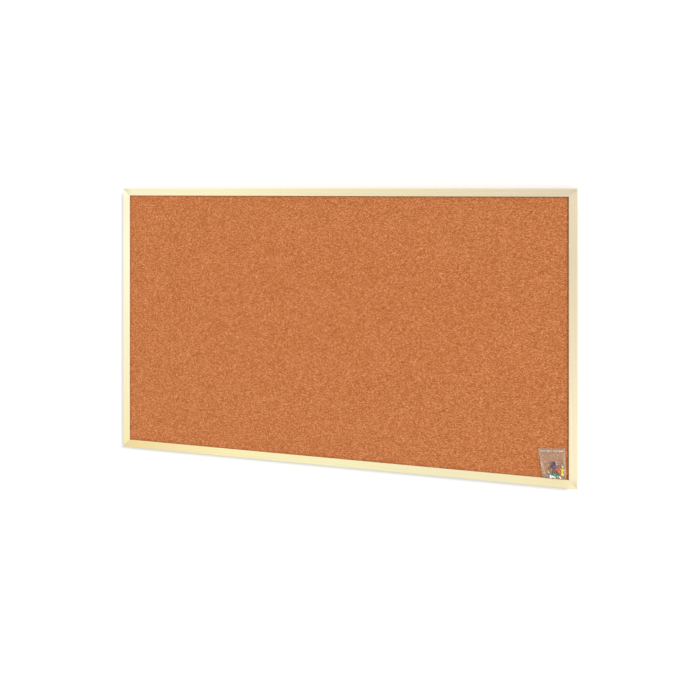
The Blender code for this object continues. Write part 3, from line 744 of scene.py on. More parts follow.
def copies_tree():
    """Puts a copy of a piece on each point, turned as the point's "turn" says and set a little askew."""
    inputs = (("Geometry", "Geometry"), ("Piece", "Object"), ("Size", "Float"), ("Skew", "Float"),
              ("Seed", "Int"), ("Finish", "Material"))
    graph, taken, given = new_tree("Place copies", inputs)
    turn = graph.add("GeometryNodeInputNamedAttribute", {"data_type": "FLOAT_VECTOR"}, Name="turn")
    straight = graph.add("FunctionNodeEulerToRotation", Euler=turn.outputs[0]).outputs[0]
    chance = graph.add("FunctionNodeRandomValue", {"data_type": "FLOAT_VECTOR"}, Seed=taken["Seed"])
    chance.inputs["Min"].default_value = (-1.0, -1.0, -1.0)
    chance.inputs["Max"].default_value = (1.0, 1.0, 1.0)
    askew = graph.add("ShaderNodeVectorMath", {"operation": "SCALE"}, Vector=chance.outputs[0],
                      Scale=taken["Skew"])
    small = graph.add("FunctionNodeEulerToRotation", Euler=askew.outputs[0]).outputs[0]
    both = graph.add("FunctionNodeRotateRotation", {"rotation_space": "LOCAL"}, Rotation=straight,
                     Rotate_By=small)
    piece = graph.add("GeometryNodeObjectInfo", Object=taken["Piece"])
    placed = graph.add("GeometryNodeInstanceOnPoints", Points=taken["Geometry"],
                       Instance=piece.outputs["Geometry"], Rotation=both.outputs[0], Scale=taken["Size"])
    real = graph.add("GeometryNodeRealizeInstances", Geometry=placed.outputs[0])
    done = graph.add("GeometryNodeSetMaterial", Geometry=real.outputs[0], Material=taken["Finish"])
    graph.put(given["Geometry"], done.outputs[0])
    return graph.tree


def thread_tree():
    """A screw's thread: a small ridge swept along a helix that tapers at its end."""
    inputs = (("Radius", "Float"), ("End radius", "Float"), ("Length", "Float"), ("Turns", "Float"),
              ("Ridge", "Float"), ("Finish", "Material"))
    graph, taken, given = new_tree("Screw thread", inputs)
    helix = graph.add("GeometryNodeCurveSpiral", Resolution=16, Rotations=taken["Turns"],
                      Start_Radius=taken["End radius"], End_Radius=taken["Radius"], Height=taken["Length"])
    ridge = graph.add("GeometryNodeCurvePrimitiveCircle", Resolution=4, Radius=taken["Ridge"])
    swept = graph.add("GeometryNodeCurveToMesh", Curve=helix.outputs[0], Profile_Curve=ridge.outputs[0],
                      Fill_Caps=True)
    real = graph.add("GeometryNodeRealizeInstances", Geometry=swept.outputs[0])
    done = graph.add("GeometryNodeSetMaterial", Geometry=real.outputs[0], Material=taken["Finish"])
    graph.put(given["Geometry"], done.outputs[0])
    return graph.tree


def set_inputs(modifier, values):
    """Set a Geometry Nodes modifier's inputs by their names."""
    for item in modifier.node_group.interface.items_tree:
        if item.item_type == "SOCKET" and item.in_out == "INPUT" and item.name in values:
            modifier[item.identifier] = values[item.name]


def placed_copies(name, blank, places, material, skew_deg=0.0):
    """One plain mesh that holds a copy of a blank at each (place, turn)."""
    host_mesh = bpy.data.meshes.new(name)
    host_mesh.from_pydata([tuple(place) for place, _ in places], [], [])
    turns = host_mesh.attributes.new("turn", "FLOAT_VECTOR", "POINT")
    turns.data.foreach_set("vector", [value for _, turn in places for value in turn])
    host = scratch(name, host_mesh)
    blank_object = scratch("blank", blank)
    modifier = host.modifiers.new("copies", "NODES")
    modifier.node_group = bpy.data.node_groups.get("Place copies") or copies_tree()
    set_inputs(modifier, {"Piece": blank_object, "Size": 1.0, "Skew": math.radians(skew_deg),
                          "Seed": 7, "Finish": material})
    mesh = taken_mesh(host)
    bpy.data.objects.remove(blank_object, do_unlink=True)
    return mesh


# Frame ---------------------------------------------------------------------------------------------


class BoardFrameLooks(bpy.types.PropertyGroup):
    """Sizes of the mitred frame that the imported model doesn't state."""

    outer_easing: length_setting("Outer easing", "Radius of the outer front edge", 2.0 * MM)
    inner_easing: length_setting("Inner easing", "Radius of the sight edge", 1.2 * MM)
    back_easing: length_setting("Back easing", "Radius of the outer back edge", 0.8 * MM)
    panel_clearance: length_setting("Panel clearance", "Room round the panel in its rebate", 0.5 * MM)
    nick_drop: length_setting("Nick drop", "Height of the small nick below the frame's top", 116 * MM)
    nick_length: length_setting("Nick length", "Length of the nick in the right sight edge", 9 * MM)
    mitre_closing: length_setting("Mitre closing", "How far each mitred end reaches into its gap", 0.12 * MM)
    station: length_setting("Station", "Length of each stretch of a rail's mesh", 25 * MM)


def moulding_section(looks):
    """The moulding's section as (inward, y) points, from the outer front edge round to the back."""
    lo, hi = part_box("top_rail")
    outer, inner, rear = looks.outer_easing, looks.inner_easing, looks.back_easing
    wall = FRAME_HIGH.x - CORK_HIGH.x - looks.panel_clearance
    lip_back = CORK_LOW.y - GAP
    crest = 0.5 * rear
    section = arc((outer, lo.y + outer), outer, 180, 270, 8)
    section += arc((FACE_WIDTH - inner, lo.y + inner), inner, 270, 360, 6)
    section += [(FACE_WIDTH, lip_back), (wall, lip_back)]
    section += arc((wall - crest, hi.y - crest), crest, 0, 90, 3)
    section += arc((rear, hi.y - rear), rear, 90, 180, 4)
    return section


def rail_mesh(name, looks):
    """A rail with mitred ends, in place, swept through stations along its length."""
    lo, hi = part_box(name)
    upright = name.endswith("stile")
    low, high = (lo.z, hi.z) if upright else (lo.x, hi.x)
    middle, half = (low + high) / 2, (high - low) / 2 + looks.mitre_closing
    count = 2 * round(half / looks.station)
    shape = bmesh.new()
    rings = []
    for i in range(count + 1):
        ring = []
        for inward, y in moulding_section(looks):
            along = middle + (2 * i / count - 1) * (half - inward)
            if upright:
                x = lo.x + inward if name == "left_stile" else hi.x - inward
                ring.append(shape.verts.new((x, y, along)))
            else:
                z = hi.z - inward if name == "top_rail" else lo.z + inward
                ring.append(shape.verts.new((along, y, z)))
        rings.append(ring)
    lofted(shape, rings)
    return mesh_of(shape, name)


def nick_place(looks):
    """The middle of the nick in the right stile's sight edge."""
    return Vector((FRAME_HIGH.x - FACE_WIDTH, FRAME_LOW.y, FRAME_HIGH.z - looks.nick_drop))


def nick_mesh(looks):
    """A long uneven lump that takes a small nick out of an edge."""
    shape = bmesh.new()
    bmesh.ops.create_icosphere(shape, subdivisions=2, radius=1.0)
    half = Vector((1.1 * MM, 1.3 * MM, looks.nick_length / 2))
    for vertex in shape.verts:
        rough = 1 + 0.25 * noise.noise(vertex.co * 1.7)
        vertex.co = nick_place(looks) + vertex.co * half * rough
    return mesh_of(shape, "nick")


def rail_tones_and_painted_shade():
    """Each rail's colour along its length, from low to high along its axis: the wood's own tone with painted
    shade, darker towards the top right where the light falls off.
    """
    return {
        "top_rail": ((249, 241, 213), (247, 240, 207), (237, 227, 192), (230, 218, 186), (219, 203, 182)),
        "bottom_rail": ((238, 214, 154), (248, 237, 186), (245, 239, 195), (240, 232, 196), (243, 229, 187)),
        "left_stile": ((246, 235, 182), (249, 240, 204), (250, 246, 217), (253, 252, 228), (251, 247, 220)),
        "right_stile": ((250, 240, 207), (247, 234, 204), (236, 221, 193), (226, 212, 183), (231, 215, 192)),
    }


class BoardBuildFrame(bpy.types.Operator):
    """Make the four rails of the frame, slotted for their nails, tabs and screws"""

    bl_idname = "board.build_frame"
    bl_label = "Frame"

    def execute(self, context):
        looks = context.scene.board_frame
        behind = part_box("top_rail")[1].y + 1 * MM
        for name in RAILS:
            side = name.split("_")[0]
            corner_word = {"top": "upper", "bottom": "lower"}.get(side, side)
            nails = [nail for nail in NAILS if corner_word in nail]
            mesh = cut(rail_mesh(name, looks), room_around(nails, GAP, behind))
            mesh = cut(mesh, room_around([tab for tab in TABS if side in tab], GAP))
            screws = [screw for screw in SCREWS if side in screw]
            if screws:
                mesh = cut(mesh, room_around(screws, GAP))
            if name == "right_stile":
                mesh = cut(mesh, nick_mesh(looks))
            material = pine_material("pale_pine_" + name, name.endswith("stile"), rail_tones_and_painted_shade()[name])
            add_piece("pine_" + name, shaded(mesh), material, "board", [name])
        return {"FINISHED"}


# Panel ---------------------------------------------------------------------------------------------


class BoardPanelLooks(bpy.types.PropertyGroup):
    """Looks of the cork face and of the boards behind it."""

    granule_size: length_setting("Granule size", "Usual width of a cork granule", 1.8 * MM)
    fleck_contrast: FloatProperty(name="Fleck contrast", description="How strongly the flecks show",
                                  default=2.0, min=0.0, max=4.0)
    relief: length_setting("Relief", "How far the cork's surface goes in between granules", 0.28 * MM)
    cork_cell: length_setting("Cork cell", "Pitch of the cork's surface mesh", 3.0 * MM)


def sheet_block(node, side, cell, depth, roughness):
    """A sheet whose front (side -1) or back (side 1) is a fine grid that is sunk here and there."""
    lo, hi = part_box(node)
    size = hi - lo
    shape = bmesh.new()
    bmesh.ops.create_grid(shape, x_segments=round(size.x / cell), y_segments=round(size.z / cell), size=0.5)
    rim = [edge for edge in shape.edges if edge.is_boundary]
    made = bmesh.ops.extrude_edge_only(shape, edges=rim)["geom"]
    far = {item for item in made if isinstance(item, bmesh.types.BMVert)}
    rim = [item for item in made if isinstance(item, bmesh.types.BMEdge) and set(item.verts) <= far]
    bmesh.ops.edgeloop_fill(shape, edges=rim)
    near_y, far_y = (lo.y, hi.y) if side < 0 else (hi.y, lo.y)
    for vertex in shape.verts:
        x = lo.x + (vertex.co.x + 0.5) * size.x
        z = lo.z + (vertex.co.y + 0.5) * size.z
        place = Vector((x, 0.0, z))
        sunk = 0.5 + 0.5 * noise.noise(place / (roughness * cell))
        sunk = 0.7 * sunk + 0.3 * (0.5 + 0.5 * noise.noise(place / (20 * cell)))
        vertex.co = (x, far_y if vertex in far else near_y - side * depth * sunk, z)
    return mesh_of(shape, node)


class BoardBuildPanel(bpy.types.Operator):
    """Make the cork sheet, the softboard core and the hardboard back"""

    bl_idname = "board.build_panel"
    bl_label = "Panel"

    def execute(self, context):
        looks = context.scene.board_panel
        cork = sheet_block("cork_sheet", -1, looks.cork_cell, looks.relief, 0.9)
        core = sheet_block("softboard_core", -1, 25 * MM, 0.2 * MM, 1.3)
        back = sheet_block("hardboard_back", 1, 12.5 * MM, 0.25 * MM, 9.0)
        softboard = fibre_material("softboard", (0.30, 0.21, 0.12), (0.52, 0.40, 0.25), 420.0, 0.0)
        hardboard = fibre_material("hardboard", (0.105, 0.050, 0.024), (0.26, 0.145, 0.075), 700.0, 2.1 * MM)
        for name, mesh, material, slot in (
            ("cork_sheet", cork, cork_material(), "cork"),
            ("softboard_core", core, softboard, "softboard"),
            ("hardboard_back", back, hardboard, "hardboard"),
        ):
            add_piece("pressed_" + name, shaded(mesh), material, "board", [name])
        return {"FINISHED"}


# Nails and tabs ------------------------------------------------------------------------------------


class BoardFixingLooks(bpy.types.PropertyGroup):
    """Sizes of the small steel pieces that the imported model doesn't state."""

    nail_thickness: length_setting("Nail thickness", "Steel of the corner nails", 0.6 * MM)
    tab_point: length_setting("Tab point", "Length of a tab's point", 2.5 * MM)
    strap_thickness: length_setting("Strap thickness", "Steel of the hanger straps", 0.8 * MM)
    screw_head: length_setting("Screw head", "Height of a screw's head", 1.5 * MM)
    thread_pitch: length_setting("Thread pitch", "Distance between turns of the thread", 1.0 * MM)


def plate_mesh(name, outline, thickness):
    """A flat plate of an (x, z) outline, centred on its thickness along Y."""
    shape = bmesh.new()
    rim = [shape.verts.new((x, -thickness / 2, z)) for x, z in outline]
    face = shape.faces.new(rim)
    made = bmesh.ops.extrude_face_region(shape, geom=[face], use_keep_orig=True)["geom"]
    for item in made:
        if isinstance(item, bmesh.types.BMVert):
            item.co.y = thickness / 2
    return mesh_of(shape, name)


def nail_blank(looks):
    """A corner nail for the upper right corner: two arms that run left and down from its bend."""
    lo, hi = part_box("corner_nail_upper_right")
    half = looks.nail_thickness / 2
    arm = hi.x - lo.x - half
    outline = [(half, half), (-arm, half), (-arm, -half), (-half, -half), (-half, -arm), (half, -arm)]
    return eased(plate_mesh("nail", outline, hi.y - lo.y), 0.10 * MM)


def tab_blank(looks):
    """A flat tab whose blunted point faces up and whose lower corners are round."""
    lo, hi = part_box("panel_tab_top_1")
    half, reach = (hi.x - lo.x) / 2, (hi.z - lo.z) / 2
    shoulder = reach - looks.tab_point
    corner = 1.2 * MM
    outline = arc((-half + corner, -reach + corner), corner, 180, 270, 4)
    outline += arc((half - corner, -reach + corner), corner, 270, 360, 4)
    outline += [(half, shoulder), (0.25 * half, reach), (-0.25 * half, reach), (-half, shoulder)]
    return eased(plate_mesh("tab", outline, hi.y - lo.y), 0.08 * MM)


def middle_of(node):
    """The middle of a CAD node's box."""
    lo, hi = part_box(node)
    return (lo + hi) / 2


def nail_places(looks):
    """Where each corner nail's bend stands, and its turn about Y."""
    turns = {"upper_right": 0, "lower_right": 90, "lower_left": 180, "upper_left": 270}
    half = looks.nail_thickness / 2
    for corner, (sx, sz) in CORNERS.items():
        lo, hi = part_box("corner_nail_" + corner)
        x = hi.x - half if sx > 0 else lo.x + half
        z = hi.z - half if sz > 0 else lo.z + half
        yield (x, (lo.y + hi.y) / 2, z), (0.0, math.radians(turns[corner]), 0.0)


def tab_places():
    """Where each tab's middle lies, and the turn about Y that points it into its rail."""
    turns = {"top": 0, "right": 90, "bottom": 180, "left": 270}
    for name in TABS:
        side = name.split("_")[2]
        yield tuple(middle_of(name)), (0.0, math.radians(turns[side]), 0.0)


class BoardBuildFixings(bpy.types.Operator):
    """Make the corner nails and the tabs that hold the panel in"""

    bl_idname = "board.build_fixings"
    bl_label = "Nails and tabs"

    def execute(self, context):
        looks = context.scene.board_fixings
        steel = steel_material("plain_steel", (0.50, 0.49, 0.47), 0.38, 160.0)
        for name, blank, places, nodes, skew in (
            ("corner_nails", nail_blank(looks), list(nail_places(looks)), NAILS, 0.0),
            ("panel_tabs", tab_blank(looks), list(tab_places()), TABS, 0.35),
        ):
            mesh = placed_copies(name, shaded(blank), places, steel, skew)
            add_piece(name, mesh, steel, "board", nodes)
        return {"FINISHED"}


# Hangers -------------------------------------------------------------------------------------------


STRAP_CORNER = 1.6 * MM
STRAP_EASING = 0.12 * MM
SCREW_HOLE_ROOM = 0.15 * MM
SCREW_TIP = 3 * MM
PLAIN_SHANK = 2 * MM
THREAD_RIDGE = 0.20 * MM
TIP_RADIUS = 0.15 * MM


def strap_line(side, looks):
    """A strap's middle line from its foot round the ring's bar, as (y, z, half width) points."""
    lo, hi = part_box("hanger_strap_" + side)
    axis = Vector(JOINT_PLACES[f"ring_{side}_swing"])
    radius = hi.y - axis.y - looks.strap_thickness / 2
    half = (hi.x - lo.x) / 2
    flat_y = axis.y - radius
    line = []
    for sideways, rise in arc((half - STRAP_CORNER, lo.z + STRAP_CORNER), STRAP_CORNER, -90, 0, 3):
        line.append((flat_y, rise, sideways))
    line += [(flat_y, lo.z + part * (axis.z - lo.z), half) for part in (0.25, 0.5, 0.75)]
    line += [(y, z, half) for y, z in arc((axis.y, axis.z), radius, 180, 180 - KNUCKLE_SWEEP_DEG, 30)]
    return axis.x, line


def strap_mesh(side, looks):
    """A strap that lies on the stile, curls round the ring's bar and has its two screw holes."""
    middle, line = strap_line(side, looks)
    shape = bmesh.new()
    rows = []
    for y, z, half in line:
        rows.append([shape.verts.new((middle + part * half, y, z)) for part in (-1, -0.5, 0, 0.5, 1)])
    woven(shape, rows)
    target = scratch("strap", mesh_of(shape, "strap"))
    solid = target.modifiers.new("thickness", "SOLIDIFY")
    solid.thickness = looks.strap_thickness
    solid.offset = 0.0
    solid.use_even_offset = True
    mesh = eased(taken_mesh(target), STRAP_EASING)
    screws = [screw for screw in SCREWS if side in screw]
    return cut(mesh, room_around(screws, SCREW_HOLE_ROOM))


def ring_mesh(side):
    """A D ring of round wire: a straight bar through the knuckle and a bow that rises from it."""
    lo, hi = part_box("hanger_ring_" + side)
    wire = hi.y - lo.y
    half = (hi.x - lo.x - wire) / 2
    corner = 0.9 * wire
    rise = hi.z - lo.z - wire - half
    path = arc((half - corner, corner), corner, -90, 0, 6)
    path += arc((0, rise), half, 0, 180, 36)
    path += arc((-half + corner, corner), corner, 180, 270, 6)
    mesh = swept_mesh("ring", path, wire / 2)
    mesh.transform(Matrix.Translation(Vector(((lo.x + hi.x) / 2, (lo.y + hi.y) / 2, lo.z + wire / 2))))
    return mesh


def cross_mesh(reach, half, low, high):
    """A cross-shaped cutter about Z that narrows towards its low end."""
    outline = []
    for turn in range(4):
        for x, y in ((reach, -half), (reach, half), (half, half)):
            outline.append(Matrix.Rotation(math.radians(90 * turn), 3, "Z") @ Vector((x, y, 0.0)))
    shape = bmesh.new()
    rings = []
    for scale, z in ((1.0, high), (0.65, low)):
        rings.append([shape.verts.new((scale * spot.x, scale * spot.y, z)) for spot in outline])
    lofted(shape, rings)
    return mesh_of(shape, "cross")


def screw_body(radius, height, shank, run):
    """A pan head with a cross recess on a plain pointed shank, about Z, with the head's seat on Z zero."""
    profile = [(0, height)]
    profile += [(radius * x, height * (0.25 + 0.75 * z)) for x, z in arc((0, 0), 1.0, 90, 0, 10)][1:]
    profile += [(radius, 0.08 * height), (0.96 * radius, 0), (shank, 0), (shank, -run + SCREW_TIP)]
    profile.append((0, -run))
    cross = cross_mesh(0.58 * radius, 0.15 * radius, 0.45 * height, 1.2 * height)
    return cut(turned_mesh("screw", profile, 32), cross)


def thread_mesh(radius, end_radius, rise, pitch, material):
    """A stretch of thread that rises from Z zero, from its end radius to its radius."""
    host = scratch("thread", bpy.data.meshes.new("thread"))
    modifier = host.modifiers.new("thread", "NODES")
    modifier.node_group = bpy.data.node_groups.get("Screw thread") or thread_tree()
    set_inputs(modifier, {"Radius": radius, "End radius": end_radius, "Length": rise,
                          "Turns": rise / pitch, "Ridge": THREAD_RIDGE, "Finish": material})
    return taken_mesh(host)


def screw_blank(looks, material):
    """A pan-head screw about Z with a cross recess and a thread, seated with its head on Z zero."""
    lo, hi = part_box(SCREWS[0])
    radius, height = (hi.x - lo.x) / 2, looks.screw_head
    run = hi.y - lo.y - height
    shank = 0.5 * radius
    crest = shank - 0.02 * MM
    cone = thread_mesh(crest, TIP_RADIUS, SCREW_TIP, looks.thread_pitch, material)
    cone.transform(Matrix.Translation((0, 0, -run)))
    straight = thread_mesh(crest, crest, run - PLAIN_SHANK - SCREW_TIP, looks.thread_pitch, material)
    straight.transform(Matrix.Translation((0, 0, -run + SCREW_TIP)))
    shape = bmesh.new()
    for mesh in (shaded(screw_body(radius, height, shank, run)), cone, straight):
        shape.from_mesh(mesh)
    whole = mesh_from(shape, "screw")
    whole.shade_smooth()
    whole.set_sharp_from_angle(angle=math.radians(40))
    return whole


class BoardBuildHangers(bpy.types.Operator):
    """Make the strap hangers, their D rings and their screws"""

    bl_idname = "board.build_hangers"
    bl_label = "Hangers"

    def execute(self, context):
        looks = context.scene.board_fixings
        zinc = steel_material("zinc_steel", (0.62, 0.62, 0.60), 0.32, 200.0)
        for side in ("left", "right"):
            strap = shaded(strap_mesh(side, looks))
            add_piece("strap_" + side, strap, zinc, "board", ["hanger_strap_" + side])
            ring = ring_mesh(side)
            mark_edges(ring)
            add_piece("d_ring_" + side, ring, zinc, "ring_" + side, ["hanger_ring_" + side])
        places = []
        for i, name in enumerate(SCREWS):
            middle = middle_of(name)
            seat = (middle.x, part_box(name)[1].y - looks.screw_head, middle.z)
            places.append((seat, (math.radians(-90), math.radians(37 * i), 0.0)))
        screws = placed_copies("strap_screws", screw_blank(looks, zinc), places, zinc)
        add_piece("strap_screws", screws, zinc, "board", SCREWS)
        return {"FINISHED"}


# Bumpers -------------------------------------------------------------------------------------------


class BoardBuildBumpers(bpy.types.Operator):
    """Make the two rubber bumpers at the lower back corners"""

    bl_idname = "board.build_bumpers"
    bl_label = "Bumpers"

    def execute(self, context):
        nodes = ("bumper_left", "bumper_right")
        lo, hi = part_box(nodes[0])
        radius, height = (hi.x - lo.x) / 2, hi.y - lo.y
        dome = rounded([(0, 0.93 * height), (0.28 * radius, 0.93 * height), (0.36 * radius, height),
                        (0.82 * radius, height), (0.88 * radius, 0.35 * height)], 3)
        profile = dome + [(0.90 * radius, 0.16 * height), (radius, 0.12 * height), (radius, 0), (0, 0)]
        blank = shaded(turned_mesh("bumper", profile, 48), 50)
        rubber = moulded_material("bumper_rubber", (0.045, 0.045, 0.045), 0.62, 220.0)
        places = []
        for name in nodes:
            middle = middle_of(name)
            places.append(((middle.x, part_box(name)[0].y, middle.z), (math.radians(-90), 0.0, 0.0)))
        mesh = placed_copies("bumpers", blank, places, rubber)
        add_piece("rubber_bumpers", mesh, rubber, "board", nodes)
        return {"FINISHED"}


# Bag -----------------------------------------------------------------------------------------------


class BoardBagLooks(bpy.types.PropertyGroup):
    """Looks and sizes of the grip-seal bag."""

    film_colour: colour_setting("Film colour", "Colour of the film's haze", (0.55, 0.50, 0.37))
    front_haze: share_setting("Front haze", "Opacity of the front sheet", 0.04)
    back_haze: share_setting("Back haze", "Opacity of the back sheet", 0.25)
    # How much a full painted glint along a fold whitens the film.
    fold_glint_white: share_setting("Fold glint white", "Opacity that a full painted fold glint adds", 0.80)
    crinkle: length_setting("Crinkle", "Depth of the film's crinkles", 0.38 * MM)
    columns: IntProperty(name="Columns", description="Cells across the bag", default=72, min=8)
    rows: IntProperty(name="Rows", description="Cells up the bag", default=84, min=8)


# Folds of the front sheet, each whitened along its length as a painted glint: start and end as shares across
# and up, width in shares, and strength
FOLD_GLINTS = (
    (0.02, 0.66, 0.09, 0.30, 0.030, 1.0),
    (0.05, 0.36, 0.14, 0.20, 0.030, 0.9),
    (0.24, 0.32, 0.29, 0.25, 0.030, 0.9),
    (0.58, 0.60, 0.66, 0.55, 0.025, 0.7),
    (0.80, 0.53, 0.88, 0.47, 0.030, 0.9),
    (0.70, 0.42, 0.76, 0.38, 0.025, 0.6),
    (0.95, 0.55, 0.97, 0.15, 0.035, 1.0),
    (0.88, 0.40, 0.93, 0.22, 0.025, 0.8),
    (0.30, 0.20, 0.36, 0.08, 0.020, 0.5),
    (0.10, 0.80, 0.35, 0.62, 0.012, 0.3),
    (0.62, 0.78, 0.90, 0.66, 0.012, 0.3),
)


SEAL_DROP = 5.0 * MM
SEAL_SPREAD = 1.2 * MM
MOUTH_DEPTH = 3.0 * MM
WELD_INSET = 0.9 * MM
ROUNDING_START = 1.0 * MM
ROUNDING_WIDTH = 5.0 * MM
LIP_SETBACK = 1.2 * MM


def fold_glint_at(across, up):
    """How strongly a fold, with the painted glint along it, runs through a place, from 0 to 1."""
    found = 0.0
    place = Vector((across, up))
    for x0, y0, x1, y1, width, strength in FOLD_GLINTS:
        start, run = Vector((x0, y0)), Vector((x1 - x0, y1 - y0))
        along = min(max((place - start).dot(run) / run.length_squared, 0.0), 1.0)
        away = (place - start - along * run).length / width
        fade = math.sin(math.pi * (0.12 + 0.76 * along))
        found = max(found, strength * fade * math.exp(-away * away))
    return found


def bag_corners(points):
    """The bag's four corners in X and Z: low left, low right, top left, top right."""
    low_left = min(points, key=lambda p: p.x + p.z)
    low_right = max(points, key=lambda p: p.x - p.z)
    top_left = min(points, key=lambda p: p.x - p.z)
    top_right = max(points, key=lambda p: p.x + p.z)
    return [Vector((p.x, p.z)) for p in (low_left, low_right, top_left, top_right)]


class BagFilm:
    """The bag's film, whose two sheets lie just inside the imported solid's skin.

    Places on it are given as shares across and up the bag. The front sheet's way is 1 and the back's is -1.
    """

    def __init__(self, looks):
        solid = frame["nodes"]["bag_film"].data
        points = [vertex.co.copy() for vertex in solid.vertices]
        solid.calc_loop_triangles()
        self.skin = BVHTree.FromPolygons(points, [tuple(tri.vertices) for tri in solid.loop_triangles])
        self.low_left, self.low_right, self.top_left, self.top_right = bag_corners(points)
        self.width = (self.low_right - self.low_left).length
        self.height = self.top_left.y - self.low_left.y
        self.front_y, self.back_y = (corner.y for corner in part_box("bag_film"))
        self.looks = looks
        self.shape = bmesh.new()
        self.fold_glint_layer = self.shape.verts.layers.float.new("crease")
        self.haze_layer = self.shape.verts.layers.float.new("haze")

    def spot(self, across, up):
        """A place's X and Z."""
        low = self.low_left.lerp(self.low_right, across)
        return low.lerp(self.top_left.lerp(self.top_right, across), up)

    def skin_y(self, across, up, way):
        """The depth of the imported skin, which a ray finds from outside."""
        inner = self.spot(0.03 + 0.94 * across, 0.02 + 0.96 * up)
        start_y = self.front_y - 10 * MM if way > 0 else self.back_y + 10 * MM
        return self.skin.ray_cast(Vector((inner.x, start_y, inner.y)), Vector((0, way, 0)))[0].y

    def crinkled_y(self, across, up, way, crease, seal):
        """The depth of a sheet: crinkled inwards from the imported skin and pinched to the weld."""
        front, below_mouth = way > 0, (1 - up) * self.height
        flat = self.spot(across, up)
        place = Vector((flat.x, 0.0 if front else 0.4, flat.y))
        slack = 0.5 + 0.5 * noise.noise(place / (6 * MM)) + 0.35 * noise.noise(place / (2.4 * MM))
        mouth = max(0.0, 1 - below_mouth / MOUTH_DEPTH)
        inset = self.looks.crinkle * (max(slack, 0.0) + 0.9 * crease) * (1 - seal)
        inset += (0.55 * MM if front else 0.25 * MM) * seal
        inset += (0.75 * MM if front else 0.10 * MM) * mouth
        weld_y = self.back_y - 0.5 * MM + 0.25 * MM * noise.noise(place / (9 * MM))
        pinch = min(max((self.rim(across, up) - ROUNDING_START) / ROUNDING_WIDTH, 0.0), 1.0)
        pinch = math.sqrt(1 - (1 - pinch) ** 2)
        y = weld_y + (self.skin_y(across, up, way) + way * inset - weld_y) * pinch
        return min(y, weld_y) if front else y

    def rim(self, across, up):
        """The distance from the nearest side or the foot."""
        return min(across * self.width, (1 - across) * self.width, up * self.height)

    def vertex(self, across, up, way):
        """One point of a sheet, with its fold's painted glint and its haze."""
        front, below_mouth = way > 0, (1 - up) * self.height
        rim = self.rim(across, up)
        flat = self.spot(across, up)
        # Folds set the painted glints; the back sheet gets weaker, mirrored ones.
        crease = fold_glint_at(across, up) if front else 0.5 * fold_glint_at(1 - across, up * 0.9)
        seal = math.exp(-((below_mouth - SEAL_DROP) / SEAL_SPREAD) ** 2)
        lip = (LIP_SETBACK if front else 0.0) * up ** 12
        wave = 0.25 * MM * noise.noise(Vector((flat.x / (9 * MM), 3.1, way))) * up ** 8
        y = self.crinkled_y(across, up, way, crease, seal)
        made = self.shape.verts.new((flat.x, y, flat.y - lip + wave))
        # Besides the painted glints along the folds, this mask whitens the welds, the seal line and the
        # mouth's edge.
        weld = max(0.0, 1 - abs(rim - WELD_INSET) / WELD_INSET) * (0.45 if front else 0.1)
        edge_line = max(0.0, 1 - below_mouth / (0.5 * MM)) * 0.15
        made[self.fold_glint_layer] = min(1.0, max(crease, weld, 0.20 * seal, edge_line))
        haze = self.looks.front_haze if front else self.looks.back_haze
        made[self.haze_layer] = haze * (1.0 + 0.6 * max(0.0, 1 - rim / (6 * MM)))
        return made

    def mesh(self):
        """A back and a front sheet, joined at the sides and the foot and open at the mouth."""
        rows, columns = self.looks.rows, self.looks.columns
        for way in (-1, 1):
            grid = []
            for row in range(rows + 1):
                grid.append([self.vertex(i / columns, row / rows, way) for i in range(columns + 1)])
            woven(self.shape, grid)
        bmesh.ops.remove_doubles(self.shape, verts=self.shape.verts, dist=FILM_WELD)
        bmesh.ops.recalc_face_normals(self.shape, faces=self.shape.faces)
        made = mesh_from(self.shape, "film")
        made.shade_smooth()
        return made


def strip_line(node):
    """A packed strip's middle line in X and Z, as its start and end, and half its height."""
    lo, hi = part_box(node)
    middle = (lo.x + hi.x) / 2
    points = {(round(v.co.x, 6), round(v.co.z, 6)) for v in frame["nodes"][node].data.vertices}
    left = [Vector(point) for point in points if point[0] < middle]
    right = [Vector(point) for point in points if point[0] > middle]
    start, end = (sum(side, Vector((0, 0))) / len(side) for side in (left, right))
    up = (end - start).normalized().orthogonal()
    return start, end, max(abs((point - start).dot(up)) for point in left)


def strip_mesh(node):
    """A grip-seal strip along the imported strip's slope, with a ridge along the middle of both faces."""
    lo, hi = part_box(node)
    start, end, half = strip_line(node)
    up = (end - start).normalized().orthogonal()
    edge = [(-1.0, -0.45), (-0.35, -0.45), (-0.2, -1.0), (0.2, -1.0), (0.35, -0.45), (1.0, -0.45)]
    section = edge + [(-high, -deep) for high, deep in edge]
    shape = bmesh.new()
    rings = []
    for i in range(31):
        centre = start.lerp(end, i / 30)
        ring = []
        for high, deep in section:
            spot = centre + up * (half * high * 0.96)
            ring.append(shape.verts.new((spot.x, (lo.y + hi.y) / 2 + (hi.y - lo.y) / 2 * deep, spot.y)))
        rings.append(ring)
    lofted(shape, rings)
    mesh = mesh_of(shape, node)
    # The strips are whitened through the same mask as the film's painted glints, and get a little haze.
    for name, value in (("crease", 0.6), ("haze", 0.10)):
        attribute = mesh.attributes.new(name, "FLOAT", "POINT")
        attribute.data.foreach_set("value", [value] * len(mesh.vertices))
    mesh.shade_smooth()
    return mesh


def glue_dot_mesh():
    """A soft flattened dot with a slightly uneven rim, whose flat side is at the back."""
    lo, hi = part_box("glue_dot")
    radius, thick = (hi.x - lo.x) / 2, hi.y - lo.y
    profile = rounded([(0, thick), (0.75 * radius, 0.98 * thick), (radius, 0.8 * thick),
                       (radius, 0.1 * thick), (0.9 * radius, 0), (0, 0)], 2)
    dot = turned_mesh("glue_dot", profile, 40)
    for vertex in dot.vertices:
        narrower = 1 - 0.06 * (0.5 + 0.5 * noise.noise(vertex.co / (3 * MM)))
        vertex.co.x *= narrower
        vertex.co.y *= narrower
    middle = middle_of("glue_dot")
    dot.transform(Matrix.Translation((middle.x, hi.y, middle.z)) @ Matrix.Rotation(math.radians(90), 4, "X"))
    return shaded(dot, 50)


